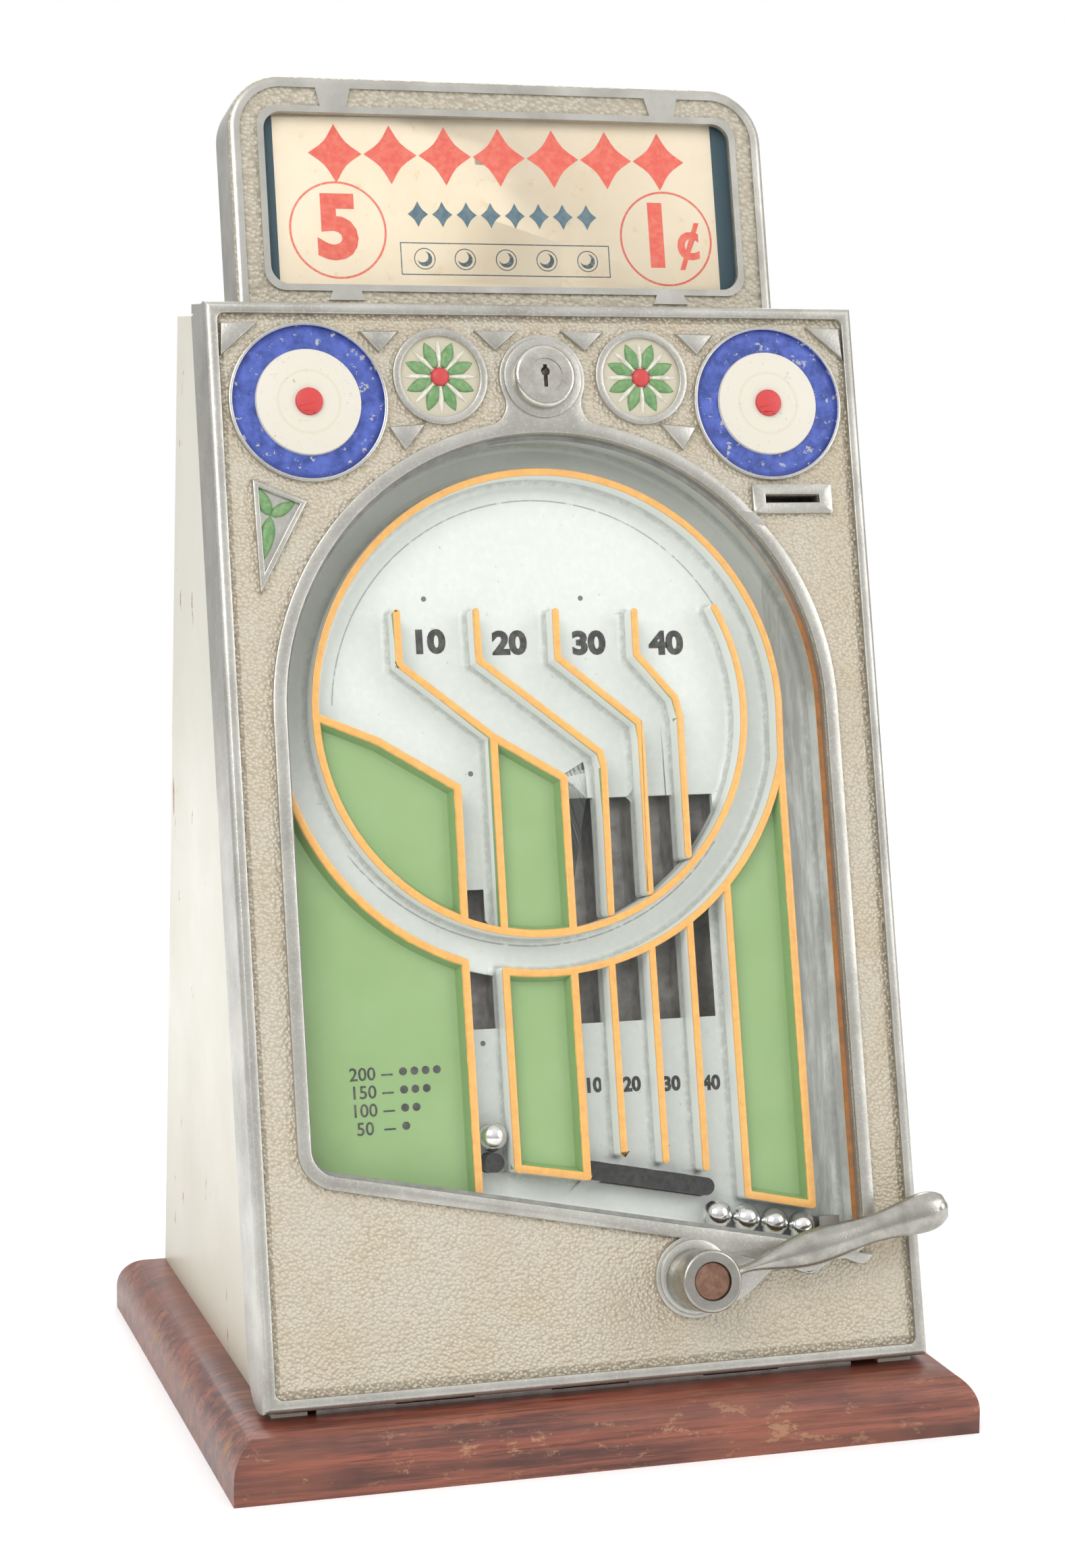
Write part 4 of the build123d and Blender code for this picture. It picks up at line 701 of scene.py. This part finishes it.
roundings = {
    "playfield": ((foot_of_wall, 2.6, 4), (top_of_wall, 0.45, 2)),
    "front_frame": ((raised_edge, 0.6, 2),),
}
for node in (
    "wood_base", "front_frame", "playfield", "sign_frame", "lever_handle", "lever_shaft", "lock_body",
    "lock_plug", "trough_balls", "out_ball", "gate_bar", "gate_pin", "back_panel", "back_panel_screws",
    "case_shell", "tunnel_box", "lever_bushing", "kicker_arm", "hinge_pin", "hinge_base_leaf",
    "window_glass", "sign_glass", "sign_card", "glass_gasket",
):
    refine(node, roundings.get(node, ()))


# a merged copy of the gate's springs, with a mesh of its own (on the real gate they shorten between its
# plate and the clips as it goes in)
springs = refine("gate_springs")
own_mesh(springs)


# ================================================================ painted leaves
def leaf(length, half_width, height, centre, turn, finish, name):
    """Pointed leaf in relief, with a vein along its middle, from a centre outwards."""
    deselect()
    bpy.ops.mesh.primitive_grid_add(x_subdivisions=10, y_subdivisions=6, size=2, location=(0, 0, 0))
    made = bpy.context.object
    for corner in made.data.vertices:
        along = (corner.co.x + 1) / 2
        out = corner.co.y
        swell = sin(pi * along ** 0.8) ** 0.8 if 0 < along < 1 else 0.0
        vein = 0.35 if abs(out) < 0.05 else 0.0
        rise = height * swell * (1 - out * out) - vein * swell
        corner.co = (along * length, out * half_width * swell, max(rise, 0.0))
    activate(made)
    bpy.ops.object.mode_set(mode="EDIT")
    bpy.ops.mesh.select_all(action="SELECT")
    bpy.ops.mesh.remove_doubles(threshold=0.0001)
    bpy.ops.mesh.select_all(action="SELECT")
    bpy.ops.mesh.extrude_region_move(TRANSFORM_OT_translate={"value": (0, 0, -0.4)})
    bpy.ops.transform.resize(value=(1, 1, 0.001), center_override=(0, 0, -0.4))
    bpy.ops.mesh.select_all(action="SELECT")
    bpy.ops.mesh.normals_make_consistent(inside=False)
    bpy.ops.object.mode_set(mode="OBJECT")
    made.data.transform(Matrix.Rotation(radians(turn), 4, "Z"))
    made.data.transform(Matrix.Translation((*centre, ORNAMENT_FLOOR)))
    made.name = name
    give(made, finish)
    return made


def bead(radius, height, centre, finish, name):
    """Low painted dome, dimpled in its middle."""
    deselect()
    bpy.ops.mesh.primitive_uv_sphere_add(segments=24, ring_count=12, radius=1, location=(0, 0, 0))
    made = bpy.context.object
    for corner in made.data.vertices:
        away = min(1.0, (corner.co.x ** 2 + corner.co.y ** 2) ** 0.5)
        dimple = 0.3 * max(0.0, 1 - away * 3.0)
        rise = height * max(corner.co.z, -0.2) - dimple
        corner.co = (corner.co.x * radius, corner.co.y * radius, rise)
    made.data.transform(Matrix.Translation((*centre, ORNAMENT_FLOOR)))
    made.name = name
    give(made, finish)
    return made


ORNAMENT_FLOOR = 0.6
LEAF_TRIANGLE_MIDDLE = (-104.9, 316.4)
for side, centre in zip(("left", "right"), ROSETTES):
    green_leaves = []
    pale_leaves = []
    for turn in range(8):
        angle = turn * 45 + 22.5
        start = (centre[0] + 3.2 * cos(radians(angle)), centre[1] + 3.2 * sin(radians(angle)))
        green_leaves.append(leaf(10.6, 2.5, 1.5, start, angle, "leaf", "leaf"))
        between = angle + 22.5
        start = (centre[0] + 3.0 * cos(radians(between)), centre[1] + 3.0 * sin(radians(between)))
        pale_leaves.append(leaf(11.2, 1.1, 1.1, start, between, "worn_cream", "vein"))
    leaves = onto_face(joined(green_leaves))
    settle(leaves, f"rosette_leaves_{side}", "door", "leaf", 60)
    veins = onto_face(joined(pale_leaves))
    settle(veins, f"rosette_veins_{side}", "door", "worn_cream", 60)
    middle = bead(3.5, 2.0, centre, "red", "middle")
    settle(onto_face(middle), f"rosette_middle_{side}", "door", "red", 60)

corner_leaves = []
for tip, half_width in (((-109.4, 327.2), 2.6), ((-95.4, 321.4), 2.3), ((-108.0, 300.5), 2.7)):
    reach = Vector(tip) - Vector(LEAF_TRIANGLE_MIDDLE)
    turn = atan2(reach.y, reach.x) * 180 / pi
    corner_leaves.append(leaf(reach.length, half_width, 1.6, LEAF_TRIANGLE_MIDDLE, turn, "leaf", "leaf"))
settle(onto_face(joined(corner_leaves)), "corner_leaves", "door", "leaf", 60)


# ================================================================ numerals and print
def lettering(text, size, place, height, weight=0.0, wide=1.0):
    """Flat numerals on the face, centred on a place."""
    deselect()
    bpy.ops.object.text_add(location=(0, 0, 0))
    made = bpy.context.object
    made.data.body = text
    made.data.size = size
    made.data.align_x = "CENTER"
    made.data.align_y = "CENTER"
    made.data.offset = weight
    made.data.extrude = 0.04
    made.data.resolution_u = 4
    bpy.ops.object.convert(target="MESH")
    made = bpy.context.object
    made.data.transform(Matrix.Diagonal((wide, 1, 1, 1)))
    made.data.transform(Matrix.Translation((*place, height)))
    return made


on_floor = CHANNEL_FLOOR + 0.03
column_numbers = [
    lettering(text, 11.6, place, on_floor, 0.62, 1.12)
    for text, place in (
        ("10", (-43.9, 272.4)), ("20", (-12.6, 271.4)), ("30", (18.2, 270.8)), ("40", (49.0, 270.2)),
    )
]
settle(onto_face(joined(column_numbers)), "column_numbers", "door", "print_black")
lane_numbers = [
    lettering(text, 7.2, place, on_floor, 0.34, 0.95)
    for text, place in (
        ("10", (8.9, 106.4)), ("20", (23.9, 105.9)), ("30", (39.4, 105.2)), ("40", (55.1, 104.6)),
    )
]
settle(onto_face(joined(lane_numbers)), "lane_numbers", "door", "print_black")
score_lines = []
for row, (points, balls) in enumerate((("200", 4), ("150", 3), ("100", 2), ("50", 1))):
    line_v = 115.4 - row * 6.5
    score_lines.append(lettering(points, 6.6, (-79.6, line_v), POCKET_FLOOR + 0.03, 0.08))
    score_lines.append(lettering("\u2013", 8.0, (-70.5, line_v), POCKET_FLOOR + 0.03, 0.08))
    for ball in range(balls):
        score_lines.append(lettering("\u2022", 12.0, (-64.5 + ball * 4.2, line_v), POCKET_FLOOR + 0.03))
settle(onto_face(joined(score_lines)), "score_lines", "door", "print_black")

card_front = max((OFF_FACE @ corner.co).z for corner in nodes["sign_card"].data.vertices)
on_card = card_front + 0.01
left_ring, right_ring = CARD_RINGS
card_numbers = [
    lettering("5", 33.0, (left_ring[0], left_ring[1]), on_card, 1.5),
    lettering("1", 34.0, (right_ring[0] - 4.0, right_ring[1]), on_card, 1.3),
    lettering("\u00a2", 22.0, (right_ring[0] + 9.0, right_ring[1] - 1.0), on_card, 0.5),
]


def lozenge(centre, half_width, half_height):
    """Flat four-pointed shape with hollow sides, for the card's border."""
    deselect()
    bpy.ops.mesh.primitive_circle_add(vertices=16, radius=1, fill_type="NGON", location=(0, 0, 0))
    made = bpy.context.object
    for corner in made.data.vertices:
        across, up = corner.co.x, corner.co.y
        pinch = 1 / (abs(across) + abs(up)) ** 1.6
        corner.co = (across * half_width * pinch, up * half_height * pinch, 0)
    activate(made)
    bpy.ops.object.mode_set(mode="EDIT")
    bpy.ops.mesh.select_all(action="SELECT")
    bpy.ops.mesh.extrude_region_move(TRANSFORM_OT_translate={"value": (0, 0, 0.05)})
    bpy.ops.mesh.select_all(action="SELECT")
    bpy.ops.mesh.normals_make_consistent(inside=False)
    bpy.ops.object.mode_set(mode="OBJECT")
    made.data.transform(Matrix.Translation((*centre, on_card)))
    return made


card_numbers += [lozenge((-64.5 + step * 21.5, 461.8), 10.4, 11.4) for step in range(7)]
settle(onto_face(joined(card_numbers)), "card_print_red", "cabinet", "print_red")
dark_marks = [lozenge((-33.5 + step * 9.6, 439.0), 4.0, 5.0) for step in range(8)]
settle(onto_face(joined(dark_marks)), "card_print_dark", "cabinet", "print_blue")

# ---------------------------------------------------------------- studio
FLOOR_SIZE = 4
LIGHT_FROM_LOW = 0.42
LIGHT_FROM_ABOVE = 1.15
bpy.ops.mesh.primitive_plane_add(size=FLOOR_SIZE, location=(0, 0, 0))
floor = bpy.context.object
floor.name = "floor"
floor_finish = Finish("pale_floor", Roughness=0.9)
floor_finish.colour((0.93, 0.93, 0.93))
floor.data.materials.append(floor_finish.material)

# The surroundings light the object from above more than from low down; the camera sees them white.
world = bpy.data.worlds.new("studio")
bpy.context.scene.world = world
world.use_nodes = True
sky = world.node_tree
backdrop = sky.nodes["Background"]
backdrop.inputs["Color"].default_value = (1, 1, 1, 1)
gaze = sky.nodes.new("ShaderNodeLightPath")
place = sky.nodes.new("ShaderNodeTexCoord")
split = sky.nodes.new("ShaderNodeSeparateXYZ")
sky.links.new(place.outputs["Generated"], split.inputs[0])
rise = sky.nodes.new("ShaderNodeMapRange")
rise.inputs["From Min"].default_value = -0.15
rise.inputs["From Max"].default_value = 0.75
rise.inputs["To Min"].default_value = LIGHT_FROM_LOW
rise.inputs["To Max"].default_value = LIGHT_FROM_ABOVE
sky.links.new(split.outputs["Z"], rise.inputs["Value"])
seen = sky.nodes.new("ShaderNodeMix")
seen.inputs["B"].default_value = 1.0
sky.links.new(gaze.outputs["Is Camera Ray"], seen.inputs["Factor"])
sky.links.new(rise.outputs["Result"], seen.inputs["A"])
sky.links.new(seen.outputs["Result"], backdrop.inputs["Strength"])


def softbox(name, place, aim, size, power):
    """Rectangular light of a size in metres and a power in watts, aimed at a point."""
    light = bpy.data.lights.new(name, "AREA")
    light.shape = "RECTANGLE"
    light.size, light.size_y = size
    light.energy = power
    holder = bpy.data.objects.new(name, light)
    holder.location = place
    holder.rotation_euler = (Vector(aim) - Vector(place)).to_track_quat("-Z", "Y").to_euler()
    bpy.context.scene.collection.objects.link(holder)


softbox("key", (-1.3, -1.5, 1.7), (0, 0, 0.25), (1.4, 1.2), 26)
softbox("fill", (1.6, -1.2, 0.9), (0, 0, 0.22), (1.2, 1.4), 12)
softbox("back", (0.2, 1.6, 1.6), (0, 0, 0.25), (1.6, 1.0), 14)

# Camera at the height and turn that the object is looked at from.
CAMERA_AT = Vector((-0.34599, -1.13749, 0.39269))
yaw, pitch, roll = radians(17.207), radians(7.866), radians(0.480)
ahead = Vector((sin(yaw) * cos(pitch), cos(yaw) * cos(pitch), -sin(pitch)))
level = Vector((cos(yaw), -sin(yaw), 0))
upright = level.cross(ahead)
side = level * cos(roll) + upright * sin(roll)
top = upright * cos(roll) - level * sin(roll)
lens = bpy.data.cameras.new("camera")
lens.sensor_fit = "VERTICAL"
lens.sensor_height = 24.0
lens.lens = 48.32
lens.shift_x = -0.0048
lens.shift_y = 0.0013
lens.clip_start = 0.05
camera = bpy.data.objects.new("camera", lens)
camera.matrix_world = Matrix((
    (side.x, top.x, -ahead.x, CAMERA_AT.x),
    (side.y, top.y, -ahead.y, CAMERA_AT.y),
    (side.z, top.z, -ahead.z, CAMERA_AT.z),
    (0, 0, 0, 1),
))
bpy.context.scene.collection.objects.link(camera)
bpy.context.scene.camera = camera
bpy.context.scene.view_settings.view_transform = "Standard"
